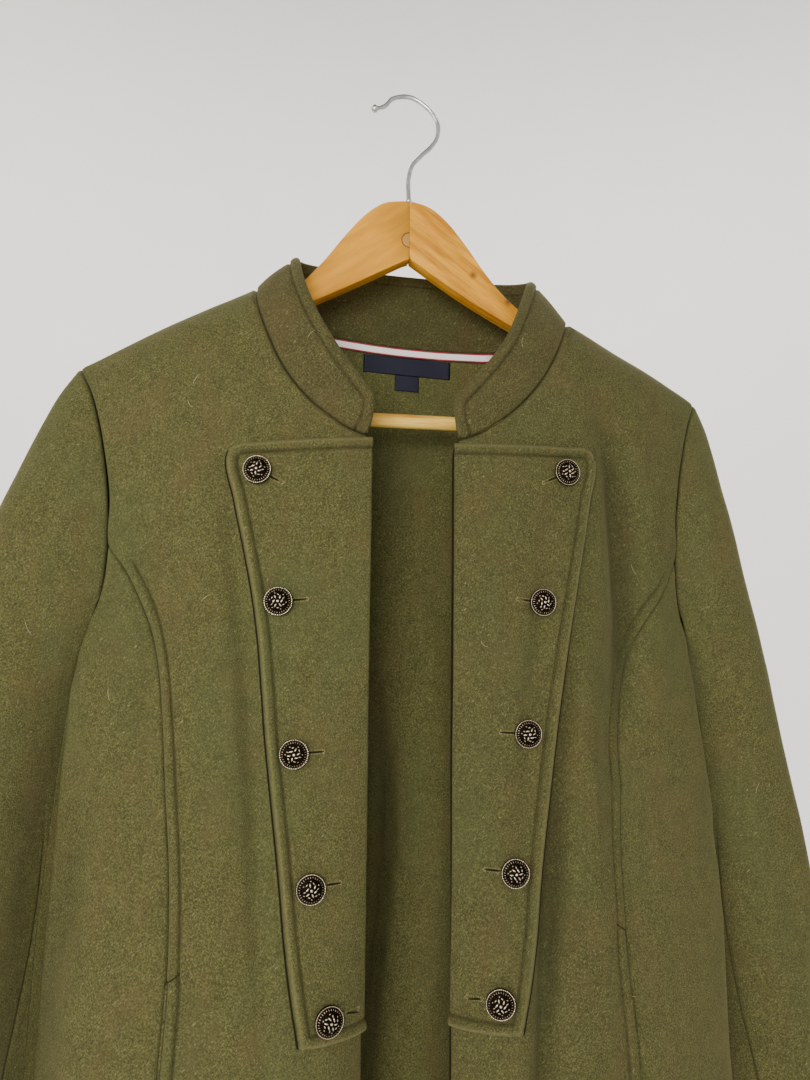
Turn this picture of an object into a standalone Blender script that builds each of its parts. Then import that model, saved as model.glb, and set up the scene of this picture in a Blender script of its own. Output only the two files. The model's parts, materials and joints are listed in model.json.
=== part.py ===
"""A wool coat, open at the front, hanging on a wooden hanger.

The front faces -Y and +Z is up. The origin is the point under the hook's crown that
rests on the nail. Left and right are as seen from the front, so left is -X.
Every piece of cloth is a wall between an outer grid of points and the same grid
moved inwards. Lengths are in metres.
"""

import math
from collections import namedtuple

import bmesh
import bpy
import numpy as np
from mathutils import Matrix, Vector

# ---------------------------------------------------------------- cloth and seams

CLOTH = 0.0025
SEAM_GAP = 0.0003
RING_GAP = 0.0002
PLASTRON_CLOTH = 0.0025
LAYER_GAP = 0.0008

# ---------------------------------------------------------------- the coat's sizes

HEM_HEIGHT = -0.950
NECK_POINT = (0.112, -0.1645)
SHOULDER_TIP = (0.220, -0.2210)
RIDGE_Y = 0.001
RIDGE_ROUNDING = 0.026
RIDGE_POWER = 0.45
SECTION_POWER = 2.4
SECTION_FULLNESS = 0.72
FRONT_EDGE_X = 0.027
EDGE_TURN_WIDTH = 0.022
EDGE_ROUNDING = 0.004
WELT_WIDTH = 0.007
WELT_RISE = 0.0012

# Level cuts of the body. half_width is the side seam's distance from the middle, edge how
# far the side seam lies in front of the shoulder ridge, pad half the body's thickness there,
# front and back the depths from there to the middle, and turn how far the open front edge
# falls back.
Section = namedtuple("Section", "height half_width front back edge pad turn")
SECTIONS = (
    Section(-0.950, 0.2385, 0.0580, 0.0560, 0.0130, 0.0, 0.024),
    Section(-0.760, 0.2300, 0.0570, 0.0560, 0.0130, 0.0, 0.026),
    Section(-0.632, 0.2262, 0.0560, 0.0550, 0.0130, 0.0, 0.025),
    Section(-0.545, 0.2225, 0.0480, 0.0540, 0.0125, 0.0, 0.015),
    Section(-0.460, 0.2142, 0.0430, 0.0520, 0.0120, 0.0, 0.010),
    Section(-0.395, 0.2060, 0.0440, 0.0480, 0.0100, 0.0, 0.007),
    Section(-0.290, 0.2160, 0.0430, 0.0390, 0.0040, 0.0060, 0.006),
    Section(-0.215, 0.2250, 0.0390, 0.0320, 0.0010, 0.0100, 0.004),
    Section(-0.100, 0.2300, 0.0390, 0.0310, 0.0000, 0.0110, 0.004),
)

# The neck hangs a little to the right of the hanger's middle, its left side the higher.
NECK_SHIFT = 0.008
NECK_TILT = 0.045

# Soft upright folds: x at the fold's top, how far it drifts in x by its foot, its span of
# heights, its half width, and its rise out of the cloth (a trough is negative).
Fold = namedtuple("Fold", "x drift top foot half_width rise")
FRONT_FOLDS = (
    Fold(0.112, 0.006, -0.360, -0.700, 0.014, 0.0030),
    Fold(0.133, 0.010, -0.330, -0.640, 0.013, -0.0035),
    Fold(-0.118, -0.004, -0.380, -0.760, 0.017, 0.0025),
    Fold(-0.176, -0.012, -0.420, -0.990, 0.020, 0.0030),
    Fold(0.182, 0.012, -0.420, -0.990, 0.020, 0.0030),
)
BACK_FOLDS = (
    Fold(0.018, -0.010, -0.330, -1.000, 0.020, -0.0070),
    Fold(-0.014, -0.014, -0.360, -1.000, 0.015, 0.0060),
    Fold(-0.115, -0.016, -0.380, -1.020, 0.026, 0.0050),
    Fold(0.120, 0.016, -0.380, -1.020, 0.026, 0.0050),
)

# Seam lines as (x, height) of the right half, each read from its first end to its last.
FRONT_NECK = ((0.031, -0.2690), (0.044, -0.2645), (0.056, -0.2565), (0.0745, -0.2410),
              (0.089, -0.2215), (0.1030, -0.1915), (0.1090, -0.1745), NECK_POINT)
BACK_NECK = (NECK_POINT, (0.104, -0.1690), (0.080, -0.1745), (0.042, -0.1775), (0.0, -0.1785))
FRONT_ARMHOLE = (SHOULDER_TIP, (0.2085, -0.2440), (0.2000, -0.2750), (0.1945, -0.3060),
                 (0.1930, -0.3420))
LOWER_ARMHOLE = ((0.1930, -0.3420), (0.1945, -0.3640), (0.1995, -0.3840), (0.2060, -0.3950))
BACK_ARMHOLE = (SHOULDER_TIP, (0.2090, -0.2420), (0.1980, -0.2800), (0.1935, -0.3250),
                (0.1975, -0.3750), (0.2060, -0.3950))
BUST_SEAM = {
    "left": ((0.1930, -0.3420), (0.1822, -0.3560), (0.1700, -0.3770), (0.1621, -0.3958),
             (0.1558, -0.4270), (0.1500, -0.4736), (0.1458, -0.5194), (0.1423, -0.5526),
             (0.1415, -0.6000), (0.1440, -0.6600), (0.1490, -0.7600), (0.1540, HEM_HEIGHT)),
    "right": ((0.1930, -0.3420), (0.1830, -0.3600), (0.1728, -0.3728), (0.1635, -0.3881),
              (0.1525, -0.4117), (0.1454, -0.4380), (0.1410, -0.4766), (0.1383, -0.5141),
              (0.1375, -0.5767), (0.1420, -0.6400), (0.1480, -0.7600), (0.1540, HEM_HEIGHT)),
}

# How the grids are spaced: lengths along a seam from its first end.
NECK_STEPS = (0.0, 0.005, 0.012, 0.024, 0.045, 0.072, 0.098, 0.116, 0.127, 0.1335, 0.1370, 1.0)
BACK_NECK_PARTS = (0.0, 0.10, 0.22, 0.44, 0.72, 1.0)
SHOULDER_PARTS = (0.0, 0.24, 0.46, 0.66, 0.83, 1.0)
FRONT_ARMHOLE_STEPS = (0.0, 0.003, 0.009, 0.020, 0.042, 0.068, 0.096, 1.0)
LOWER_ARMHOLE_PARTS = (0.0, 0.2, 0.4, 0.6, 0.8, 0.92, 1.0)
BACK_ARMHOLE_STEPS = (0.0, 0.003, 0.009, 0.020, 0.042, 0.068, 0.096, 0.124, 0.152, 1.0)
NECK_SPREAD = 0.0045
LENGTH_PARTS = (0.0, 0.035, 0.08, 0.13, 0.19, 0.26, 0.34, 0.42, 0.51, 0.60, 0.70, 0.80, 0.90, 1.0)

# ---------------------------------------------------------------- plastron and buttons

PLASTRON_INNER_X = 0.0275
PLASTRON_CORNER = 0.007

# The plastrons' top edges as heights at the inner and outer end, and their outer edges as
# (x, height) of the right half from the top corner to the foot.
PLASTRON_TOP = {"left": (-0.2700, -0.2780), "right": (-0.2715, -0.2705)}
PLASTRON_OUTER = {
    "left": ((0.1185, -0.2850), (0.1120, -0.3200), (0.1030, -0.3580), (0.0966, -0.3952),
             (0.0896, -0.4600), (0.0792, -0.5406), (0.0726, -0.5947), (0.0655, -0.6335)),
    "right": ((0.1248, -0.2785), (0.1190, -0.3160), (0.1105, -0.3630), (0.1030, -0.4022),
              (0.0935, -0.4600), (0.0825, -0.5350), (0.0755, -0.5900), (0.0668, -0.6335)),
}
PLASTRON_FOOT_HEIGHT = -0.6325
PLASTRON_COLUMNS = 8
PLASTRON_ROWS = 13

BUTTON_RADIUS = 0.0090
BUTTON_SEGMENTS = 12
BUTTON_PROFILE = ((0.0, 0.0003), (0.0023, 0.0003), (0.0023, 0.0026), (0.0074, 0.0022),
                  (BUTTON_RADIUS, 0.0030), (0.0088, 0.0042), (0.0080, 0.0045),
                  (0.0062, 0.0058), (0.0034, 0.0069), (0.0, 0.0073))
ButtonRow = namedtuple("ButtonRow", "left_x left_height right_x right_height")
BUTTON_ROWS = (
    ButtonRow(0.0990, -0.2958, 0.1016, -0.2890),
    ButtonRow(0.0838, -0.3775, 0.0850, -0.3750),
    ButtonRow(0.0724, -0.4691, 0.0739, -0.4583),
    ButtonRow(0.0612, -0.5462, 0.0637, -0.5411),
    ButtonRow(0.0505, -0.6186, 0.0542, -0.6141),
)

# ---------------------------------------------------------------- collar

# The collar's top edge above each step of the neck seam, from the rounded front end
# round to the middle of the back.
CollarEdge = namedtuple("CollarEdge", "x y height")
COLLAR_EDGE = (
    CollarEdge(0.0282, -0.0500, -0.2630),
    CollarEdge(0.0262, -0.0505, -0.2530),
    CollarEdge(0.0264, -0.0510, -0.2430),
    CollarEdge(0.0345, -0.0515, -0.2325),
    CollarEdge(0.0455, -0.0515, -0.2190),
    CollarEdge(0.0600, -0.0500, -0.1980),
    CollarEdge(0.0700, -0.0440, -0.1765),
    CollarEdge(0.0765, -0.0330, -0.1575),
    CollarEdge(0.0800, -0.0240, -0.1460),
    CollarEdge(0.0818, -0.0180, -0.1415),
    CollarEdge(0.0835, -0.0110, -0.1375),
    CollarEdge(0.0845, -0.0030, -0.1340),
    CollarEdge(0.0850, 0.0070, -0.1306),
    CollarEdge(0.0800, 0.0170, -0.1280),
    CollarEdge(0.0650, 0.0280, -0.1250),
    CollarEdge(0.0400, 0.0350, -0.1225),
    CollarEdge(0.0000, 0.0385, -0.1215),
)
COLLAR_PARTS = (0.0, 0.28, 0.58, 0.84, 1.0)
COLLAR_BOW = 0.0015
BODY_SHARE = 2.5
UNDERARM_TURN = 0.9

# ---------------------------------------------------------------- sleeves

# Cuts across a sleeve from the armhole (part 0) to the cuff (part 1): its outer and inner
# edge as seen from the front, the Y of each, and half its depth from front to back.
SleeveCut = namedtuple("SleeveCut", "part outer_x outer_z inner_x inner_z outer_y inner_y depth")
RIGHT_SLEEVE = (
    SleeveCut(0.00, 0.2200, -0.2210, 0.2060, -0.3950, 0.001, -0.010, 0.019),
    SleeveCut(0.03, 0.2275, -0.2360, 0.2095, -0.4020, 0.002, -0.006, 0.022),
    SleeveCut(0.10, 0.2385, -0.2820, 0.2150, -0.4180, 0.003, 0.002, 0.027),
    SleeveCut(0.22, 0.2530, -0.3450, 0.2155, -0.4500, 0.004, 0.013, 0.030),
    SleeveCut(0.36, 0.2700, -0.4180, 0.2110, -0.4950, 0.004, 0.023, 0.031),
    SleeveCut(0.52, 0.2870, -0.5000, 0.2070, -0.5520, 0.004, 0.029, 0.031),
    SleeveCut(0.68, 0.3060, -0.5950, 0.2120, -0.6280, 0.004, 0.030, 0.030),
    SleeveCut(0.84, 0.3280, -0.7000, 0.2330, -0.7300, 0.004, 0.025, 0.029),
    SleeveCut(1.00, 0.3510, -0.8130, 0.2480, -0.8370, 0.004, 0.018, 0.027),
)
LEFT_SLEEVE = (
    SleeveCut(0.00, 0.2200, -0.2210, 0.2060, -0.3950, 0.001, -0.010, 0.019),
    SleeveCut(0.03, 0.2300, -0.2355, 0.2095, -0.4020, 0.002, -0.006, 0.022),
    SleeveCut(0.10, 0.2510, -0.2840, 0.2155, -0.4190, 0.003, 0.002, 0.027),
    SleeveCut(0.22, 0.2750, -0.3480, 0.2170, -0.4520, 0.004, 0.013, 0.030),
    SleeveCut(0.36, 0.2990, -0.4200, 0.2140, -0.4980, 0.004, 0.023, 0.031),
    SleeveCut(0.52, 0.3220, -0.5050, 0.2120, -0.5550, 0.004, 0.029, 0.031),
    SleeveCut(0.68, 0.3410, -0.6010, 0.2190, -0.6320, 0.004, 0.030, 0.030),
    SleeveCut(0.84, 0.3560, -0.7050, 0.2390, -0.7350, 0.004, 0.025, 0.029),
    SleeveCut(1.00, 0.3690, -0.8160, 0.2610, -0.8400, 0.004, 0.018, 0.027),
)
SLEEVE_PARTS = (0.0, 0.015, 0.035, 0.065, 0.11, 0.17, 0.24, 0.32, 0.42, 0.52, 0.62, 0.72, 0.81,
                0.90, 1.0)
SLEEVE_BLEND = 0.16
SLEEVE_ROUNDNESS = 0.85
HIND_SEAM_STEP = 6
FRONT_SEAM_STEP = {"right": 1, "left": 3}

# ---------------------------------------------------------------- neck trims

TAPE_HALF_WIDTH = 0.076
TAPE_HEIGHT = 0.0068
TAPE_THICKNESS = 0.0010
TRIM_THICKNESS = 0.0006
LABEL_MIDDLE_X = 0.0005
LABEL_SIZE = (0.067, 0.0135)
SIZE_LABEL_SIZE = (0.0185, 0.0120)

# ---------------------------------------------------------------- hanger

WOOD_THICKNESS = 0.012
WOOD_BEVEL = 0.0012
JOINT_X = 0.0025
ARM_TOP = ((0.000, -0.0818), (0.010, -0.0826), (0.022, -0.0885), (0.034, -0.0990),
           (0.046, -0.1145), (0.059, -0.1320), (0.070, -0.1455), (0.086, -0.1595),
           (0.110, -0.1725), (0.150, -0.1930), (0.190, -0.2135))
ARM_END = ((0.2030, -0.2215), (0.2075, -0.2290), (0.2078, -0.2460), (0.2030, -0.2545),
           (0.1900, -0.2575), (0.1780, -0.2555), (0.1745, -0.2520))
ARM_UNDERSIDE = ((0.1745, -0.2395), (0.1600, -0.2255), (0.1200, -0.2010), (0.074, -0.1735),
                 (0.030, -0.1465), (0.000, -0.1285))
ARM_TOP_POINTS = 14
BAR_RADIUS = 0.0050
BAR_HEIGHT = -0.2460
BAR_HALF_LENGTH = 0.1742
BAR_SEGMENTS = 12

WIRE_RADIUS = 0.00165
TIP_RADIUS = 0.0028
HOOK_ROUTE = ((-0.0235, -0.0105), (-0.0165, -0.0080), (-0.0115, -0.0020), (-0.0045, 0.0010),
              (0.0000, WIRE_RADIUS), (0.0050, 0.0009), (0.0125, -0.0030), (0.0200, -0.0100),
              (0.0240, -0.0190), (0.0230, -0.0285), (0.0180, -0.0370), (0.0105, -0.0450),
              (0.0045, -0.0530), (0.0025, -0.0610), (0.0025, -0.0815))
HOOK_POINTS = 44

SIDES = {"left": -1.0, "right": 1.0}


# ---------------------------------------------------------------- numbers and curves

def unit(vector):
    """The vector, or each row of an array of vectors, at length one."""
    vector = np.asarray(vector, float)
    return vector / np.maximum(np.linalg.norm(vector, axis=-1, keepdims=True), 1e-12)


def smooth(knots, values, at):
    """The value at one knot position of the smooth curve through rows of values."""
    knots = np.asarray(knots, float)
    values = np.asarray(values, float)
    slopes = np.gradient(values, knots, axis=0)
    low = int(np.clip(np.searchsorted(knots, at) - 1, 0, len(knots) - 2))
    span = knots[low + 1] - knots[low]
    t = float(np.clip((at - knots[low]) / span, 0.0, 1.0))
    return ((1 + 2 * t) * (1 - t) ** 2 * values[low] + t * t * (3 - 2 * t) * values[low + 1]
            + span * (t * (1 - t) ** 2 * slopes[low] - t * t * (1 - t) * slopes[low + 1]))


def curve(points, parts):
    """Points at the given parts of the length of a smooth curve through points."""
    points = np.asarray(points, float)
    knots = np.concatenate(([0.0], np.cumsum(np.linalg.norm(np.diff(points, axis=0), axis=1))))
    dense_knots = np.linspace(0.0, knots[-1], 400)
    dense = np.array([smooth(knots, points, knot) for knot in dense_knots])
    length = np.concatenate(([0.0], np.cumsum(np.linalg.norm(np.diff(dense, axis=0), axis=1))))
    return np.column_stack([np.interp(np.asarray(parts) * length[-1], length, dense[:, axis])
                            for axis in range(points.shape[1])])


def parts_of(points, steps):
    """Steps in metres, the last one meaning the end, as parts of the curve's length."""
    points = np.asarray(points, float)
    length = np.linalg.norm(np.diff(points, axis=0), axis=1).sum()
    return [step / length for step in steps[:-1]] + [1.0]


def patch(top, foot, left, right):
    """The grid of points that fills four boundary curves which share their corners."""
    across = np.concatenate(([0.0], np.cumsum(np.linalg.norm(np.diff(foot, axis=0), axis=1))))
    down = np.concatenate(([0.0], np.cumsum(np.linalg.norm(np.diff(right, axis=0), axis=1))))
    u = (across / across[-1])[None, :, None]
    v = (down / down[-1])[:, None, None]
    return ((1 - v) * top[None] + v * foot[None] + (1 - u) * left[:, None] + u * right[:, None]
            - (1 - u) * (1 - v) * top[0] - u * (1 - v) * top[-1]
            - (1 - u) * v * foot[0] - u * v * foot[-1])


# ---------------------------------------------------------------- the body's surface

def shoulder_height(x):
    """Height of the shoulder ridge at a distance from the middle."""
    slope = (SHOULDER_TIP[1] - NECK_POINT[1]) / (SHOULDER_TIP[0] - NECK_POINT[0])
    return NECK_POINT[1] + slope * (abs(x) - NECK_POINT[0])


def fold_rise(folds, x, height):
    """How far the folds lift the cloth at a place."""
    rise = 0.0
    for fold in folds:
        along = (fold.top - height) / (fold.top - fold.foot)
        if 0.0 < along < 1.0:
            offset = (x - fold.x - fold.drift * along) / fold.half_width
            rise += fold.rise * math.sin(math.pi * along) ** 0.7 * math.exp(-offset * offset)
    return rise


def body_y(x, height, face):
    """Y of the cloth's outer side on the front (-1) or the back (1) at x and height."""
    section = Section(*smooth([row.height for row in SECTIONS], SECTIONS, height))
    pad = max(section.pad, 0.0)
    below_ridge = max(shoulder_height(x) - height, 0.0)
    swell = (1.0 - math.exp(-below_ridge / RIDGE_ROUNDING)) ** RIDGE_POWER
    ratio = min(abs(x) / section.half_width, 1.0)
    fullness = (1.0 - ratio ** SECTION_POWER) ** SECTION_FULLNESS
    if face > 0:
        rise = fold_rise(BACK_FOLDS, x, height) * fullness
        depth = pad - section.edge + section.back * fullness
        return RIDGE_Y + swell * depth + rise
    turn = section.turn * math.exp(-max(abs(x) - FRONT_EDGE_X, 0.0) / EDGE_TURN_WIDTH)
    rise = fold_rise(FRONT_FOLDS, x, height) * fullness
    depth = pad + section.edge + section.front * fullness - turn
    return RIDGE_Y - swell * depth - rise


def body_points(flat, face, side):
    """The body's points in space at a grid or row of (x, height) of its right half."""
    points = np.empty(flat.shape[:-1] + (3,))
    for index in np.ndindex(flat.shape[:-1]):
        x, height = flat[index]
        points[index] = (side * x, body_y(side * x, height, face), height)
    return points


def body_inward(flat, face, side):
    """Unit directions into the body at a grid of (x, height) of its right half."""
    step = 0.0006
    inward = np.empty(flat.shape[:-1] + (3,))
    for index in np.ndindex(flat.shape[:-1]):
        x, height = flat[index]
        here = body_y(side * x, height, face)
        across = (here - body_y(side * (x - step), height, face)) / (side * step)
        upward = (here - body_y(side * x, height - step, face)) / step
        inward[index] = (face * across, -face, face * upward)
    return unit(inward)


def eased(share):
    """A share from 0 to 1, eased at both ends and held outside them."""
    share = np.clip(share, 0.0, 1.0)
    return share * share * (3 - 2 * share)


def hung(points):
    """Points of the cloth as the neck hangs: shifted and tilted, fading to nothing below."""
    points = points.copy()
    x, y, z = (points[..., axis] for axis in range(3))
    near_neck = 1.0 - eased((np.abs(x) - 0.10) / 0.11)
    shift = NECK_SHIFT * near_neck * eased((y + 0.050) / 0.050) * eased((z + 0.45) / 0.20)
    tilt = NECK_TILT * near_neck * eased((z + 0.25) / 0.06) * x
    tilt = tilt * (1.0 - 0.5 * eased((z + 0.165) / 0.030))
    points[..., 0] = x + shift
    points[..., 2] = z - tilt
    return points


def ridge_inward(side):
    """Direction of a wall's end at the shoulder seam: straight under the ridge."""
    run = SHOULDER_TIP[0] - NECK_POINT[0]
    drop = NECK_POINT[1] - SHOULDER_TIP[1]
    return unit((-side * drop, 0.0, -run))


# ---------------------------------------------------------------- meshes

def finish(name, colour, roughness, metallic=0.0):
    """A Principled material of one linear colour."""
    material = bpy.data.materials.new(name)
    material.use_nodes = True
    shader = material.node_tree.nodes["Principled BSDF"]
    shader.inputs["Base Color"].default_value = (*colour, 1.0)
    shader.inputs["Roughness"].default_value = roughness
    shader.inputs["Metallic"].default_value = metallic
    return material


def add_object(name, builder, material):
    """An object of the builder's closed mesh, its faces turned outwards."""
    bmesh.ops.recalc_face_normals(builder, faces=builder.faces)
    mesh = bpy.data.meshes.new(name)
    builder.to_mesh(mesh)
    builder.free()
    mesh.materials.append(material)
    mesh.shade_smooth()
    mesh.set_sharp_from_angle(angle=math.radians(50))
    piece = bpy.data.objects.new(name, mesh)
    bpy.context.scene.collection.objects.link(piece)
    return piece


def rim_of(rows, columns):
    """The places round the edge of a grid, as a closed loop."""
    return ([(0, column) for column in range(columns)]
            + [(row, columns - 1) for row in range(1, rows)]
            + [(rows - 1, column) for column in range(columns - 2, -1, -1)]
            + [(row, 0) for row in range(rows - 2, 0, -1)])


def drawn_in(grid, inward, amount=SEAM_GAP / 2):
    """The grid with its rim moved in by half a seam gap, square to the ends of the wall."""
    rim = rim_of(*grid.shape[:2])
    rows, columns = np.array(rim).T
    points = grid[rows, columns]
    ends = inward[rows, columns]
    run = np.roll(points, -1, axis=0) - points
    across = unit(np.cross(run, ends + np.roll(ends, -1, axis=0)))
    before = np.roll(across, 1, axis=0)
    offset = (before + across) / np.maximum(1 + (before * across).sum(axis=1), 0.35)[:, None]
    to_middle = grid.mean(axis=(0, 1)) - points
    offset = offset * np.sign((offset * to_middle).sum())
    moved = grid.copy()
    moved[rows, columns] = points + amount * offset
    return moved


def grid_inward(grid, toward):
    """Unit directions across a grid, on the side that the toward direction shows."""
    down = np.gradient(grid, axis=0)
    across = np.gradient(grid, axis=1)
    inward = unit(np.cross(down, across))
    agree = np.sign((inward * toward).sum(axis=-1, keepdims=True).mean())
    return inward * agree


def wall(name, outer, inward, thickness, material):
    """A closed wall between a grid of outer points and the same grid moved inwards."""
    rows, columns = outer.shape[:2]
    builder = bmesh.new()
    layers = [[[builder.verts.new(Vector(point)) for point in row] for row in hung(layer)]
              for layer in (outer, outer + inward * thickness)]
    for layer in layers:
        for row in range(rows - 1):
            for column in range(columns - 1):
                builder.faces.new((layer[row][column], layer[row][column + 1],
                                   layer[row + 1][column + 1], layer[row + 1][column]))
    bmesh.ops.triangulate(builder, faces=builder.faces, quad_method="FIXED")
    rim = rim_of(rows, columns)
    for here, beyond in zip(rim, rim[1:] + rim[:1]):
        low, high = sorted((here, beyond), key=lambda place: tuple(
            np.round(outer[place][[2, 1, 0]], 3)))
        outer_low, outer_high, inner_low, inner_high = (
            layers[layer][place[0]][place[1]] for layer in (0, 1) for place in (low, high))
        builder.faces.new((outer_low, outer_high, inner_high))
        builder.faces.new((outer_low, inner_high, inner_low))
    return add_object(name, builder, material)


def solid_of_outline(name, outline, y_low, y_high, material):
    """An outline in the XZ plane drawn out along Y, its long edges softened."""
    builder = bmesh.new()
    face = builder.faces.new([builder.verts.new((x, y_low, z)) for x, z in outline])
    drawn = bmesh.ops.extrude_face_region(builder, geom=[face])
    moved = [item for item in drawn["geom"] if isinstance(item, bmesh.types.BMVert)]
    bmesh.ops.translate(builder, verts=moved, vec=(0.0, y_high - y_low, 0.0))
    bmesh.ops.recalc_face_normals(builder, faces=builder.faces)
    long_edges = [edge for edge in builder.edges
                  if abs(edge.verts[0].co.y - edge.verts[1].co.y) < 1e-6]
    bmesh.ops.bevel(builder, geom=long_edges, offset=WOOD_BEVEL, offset_type="OFFSET",
                    affect="EDGES", segments=1, profile=0.5, material=-1)
    return add_object(name, builder, material)


def turned(name, profile, segments, matrix, material):
    """A profile of (radius, height) turned once round the Z axis, then placed."""
    builder = bmesh.new()
    verts = [builder.verts.new((radius, 0.0, height)) for radius, height in profile]
    edges = [builder.edges.new(pair) for pair in zip(verts, verts[1:])]
    bmesh.ops.spin(builder, geom=verts + edges, axis=(0, 0, 1), cent=(0, 0, 0),
                   angle=2 * math.pi, steps=segments, use_merge=True)
    bmesh.ops.remove_doubles(builder, verts=builder.verts, dist=1e-6)
    bmesh.ops.transform(builder, matrix=matrix, verts=builder.verts)
    return add_object(name, builder, material)


# ---------------------------------------------------------------- seams shared by the pieces

class Seams:
    """The coat's seam lines, sampled once, so that the pieces on both sides share points.

    Each line is rows of (x, height) of the right half. A ring also has the points in space
    and the directions in which the walls on both its sides end.
    """

    def __init__(self):
        self.front_neck = curve(FRONT_NECK, parts_of(FRONT_NECK, NECK_STEPS))
        self.back_neck = curve(BACK_NECK, BACK_NECK_PARTS)
        self.shoulder = curve((NECK_POINT, SHOULDER_TIP), SHOULDER_PARTS)
        self.front_armhole = curve(FRONT_ARMHOLE, parts_of(FRONT_ARMHOLE, FRONT_ARMHOLE_STEPS))
        self.lower_armhole = curve(LOWER_ARMHOLE, LOWER_ARMHOLE_PARTS)
        self.back_armhole = curve(BACK_ARMHOLE, parts_of(BACK_ARMHOLE, BACK_ARMHOLE_STEPS))
        self.bust = {side: curve(line, LENGTH_PARTS) for side, line in BUST_SEAM.items()}
        underarm = self.lower_armhole[-1][1]
        heights = underarm + np.asarray(LENGTH_PARTS) * (HEM_HEIGHT - underarm)
        rows = [row.height for row in SECTIONS]
        widths = [smooth(rows, SECTIONS, height)[1] for height in heights]
        self.side = np.column_stack((widths, heights))
        self.neck_points, self.neck_inward = self.neck_ring()
        self.armholes = {side: self.armhole_ring(side) for side in SIDES.values()}

    def neck_ring(self):
        """The neck seam from the left front end round the back to the right front end."""
        points = []
        body = []
        for side in (-1.0, 1.0):
            front = body_inward(self.front_neck, -1, side)
            front[-1] = ridge_inward(side)
            points.append(np.vstack((body_points(self.front_neck, -1, side),
                                     body_points(self.back_neck[1:], 1, side))))
            body.append(np.vstack((front, body_inward(self.back_neck[1:], 1, side))))
        points = np.vstack((points[0], points[1][-2::-1]))
        body = np.vstack((body[0], body[1][-2::-1]))
        along = np.gradient(points, axis=0)
        collar = unit(np.column_stack((-along[:, 1], along[:, 0], np.zeros(len(along)))))
        collar = collar * np.sign(-(collar * points * (1, 1, 0)).sum(axis=1, keepdims=True))
        return points, unit(BODY_SHARE * body + collar)

    def armhole_ring(self, side):
        """An armhole: down its front from the shoulder tip, then up its back."""
        front = np.vstack((self.front_armhole, self.lower_armhole[1:]))
        ring = np.vstack((body_points(front, -1, side),
                          body_points(self.back_armhole[::-1][1:-1], 1, side)))
        tangent = np.roll(ring, -1, axis=0) - np.roll(ring, 1, axis=0)
        inward = unit(np.cross((1.0, 0.0, 0.0), tangent))
        middle = (ring[0] + ring[len(front) - 1]) / 2
        inward = inward * np.sign((inward * (middle - ring)).sum())
        drop = (ring[0, 2] - ring[:, 2]) / (ring[0, 2] - ring[len(front) - 1, 2])
        inward[:, 0] -= side * UNDERARM_TURN * drop ** 3
        return ring, unit(inward)


# ---------------------------------------------------------------- cloth pieces

def neck_spread(seams, lengths, columns):
    """How far a front's points move out sideways, so that its rows leave the neck squarely."""
    run = unit(np.gradient(seams.front_neck, axis=0))
    steepness = np.zeros(columns)
    neck = len(run)
    steepness[:neck] = run[:, 1] ** 4
    steepness[neck:] = np.linspace(0.8, 0.0, columns - neck)
    away = (1.0 - np.exp(-lengths / 0.001)) * np.exp(-lengths / 0.040)
    return NECK_SPREAD * away[:, None] * steepness[None]


def front_panel(seams, side, side_name, material):
    """A front, from the open edge to the bust seam, with the raised welt along the seam."""
    outer = np.vstack((seams.front_armhole, seams.bust[side_name][1:]))
    lengths = np.concatenate(([0.0], np.cumsum(np.linalg.norm(np.diff(outer, axis=0), axis=1))))
    down = lengths / lengths[-1]
    edge_heights = FRONT_NECK[0][1] + down * (HEM_HEIGHT - FRONT_NECK[0][1])
    edge_x = FRONT_EDGE_X + (FRONT_NECK[0][0] - FRONT_EDGE_X) * np.exp(
        -(FRONT_NECK[0][1] - edge_heights) / EDGE_ROUNDING)
    edge = np.column_stack((edge_x, edge_heights))
    top = np.vstack((seams.front_neck, seams.shoulder[1:]))
    reach = np.concatenate(([0.0], np.cumsum(np.linalg.norm(np.diff(top, axis=0), axis=1))))
    foot = edge[-1] + (reach / reach[-1])[:, None] * (outer[-1] - edge[-1])
    flat = patch(top, foot, edge, outer)
    flat[:, :, 0] += neck_spread(seams, lengths, flat.shape[1])
    stitched = flat[:, -1] + WELT_WIDTH * unit(flat[:, -2] - flat[:, -1])
    flat = np.concatenate((flat[:, :-1], stitched[:, None], flat[:, -1:]), axis=1)
    points = body_points(flat, -1, side)
    inward = body_inward(flat, -1, side)
    neck = len(seams.front_neck)
    armhole = len(seams.front_armhole)
    inward[0, neck:] = ridge_inward(side)
    ring_order = slice(None) if side < 0 else slice(None, None, -1)
    inward[0, :neck] = seams.neck_inward[ring_order][:neck]
    inward[:armhole, -1] = seams.armholes[side][1][:armhole]
    depth = np.full(flat.shape[:2] + (1,), CLOTH)
    outer_points = drawn_in(points, inward)
    outer_points[armhole + 1:, -2:] -= inward[armhole + 1:, -2:] * WELT_RISE
    depth[armhole + 1:, -2:] += WELT_RISE
    wall(f"front_{side_name}", outer_points, inward * depth, 1.0, material)


def side_front_panel(seams, side, side_name, material):
    """A side front, from the bust seam round to the side seam."""
    turn = np.sin(np.asarray(LOWER_ARMHOLE_PARTS) * math.pi / 2)
    bust = seams.bust[side_name]
    foot = bust[-1] + turn[:, None] * (seams.side[-1] - bust[-1])
    flat = patch(seams.lower_armhole, foot, bust, seams.side)
    points = body_points(flat, -1, side)
    inward = body_inward(flat, -1, side)
    first = len(seams.front_armhole) - 1
    inward[:, -1] = (-side, 0.0, 0.0)
    inward[0] = seams.armholes[side][1][first:first + len(seams.lower_armhole)]
    wall(f"side_front_{side_name}", drawn_in(points, inward), inward, CLOTH, material)


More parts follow.
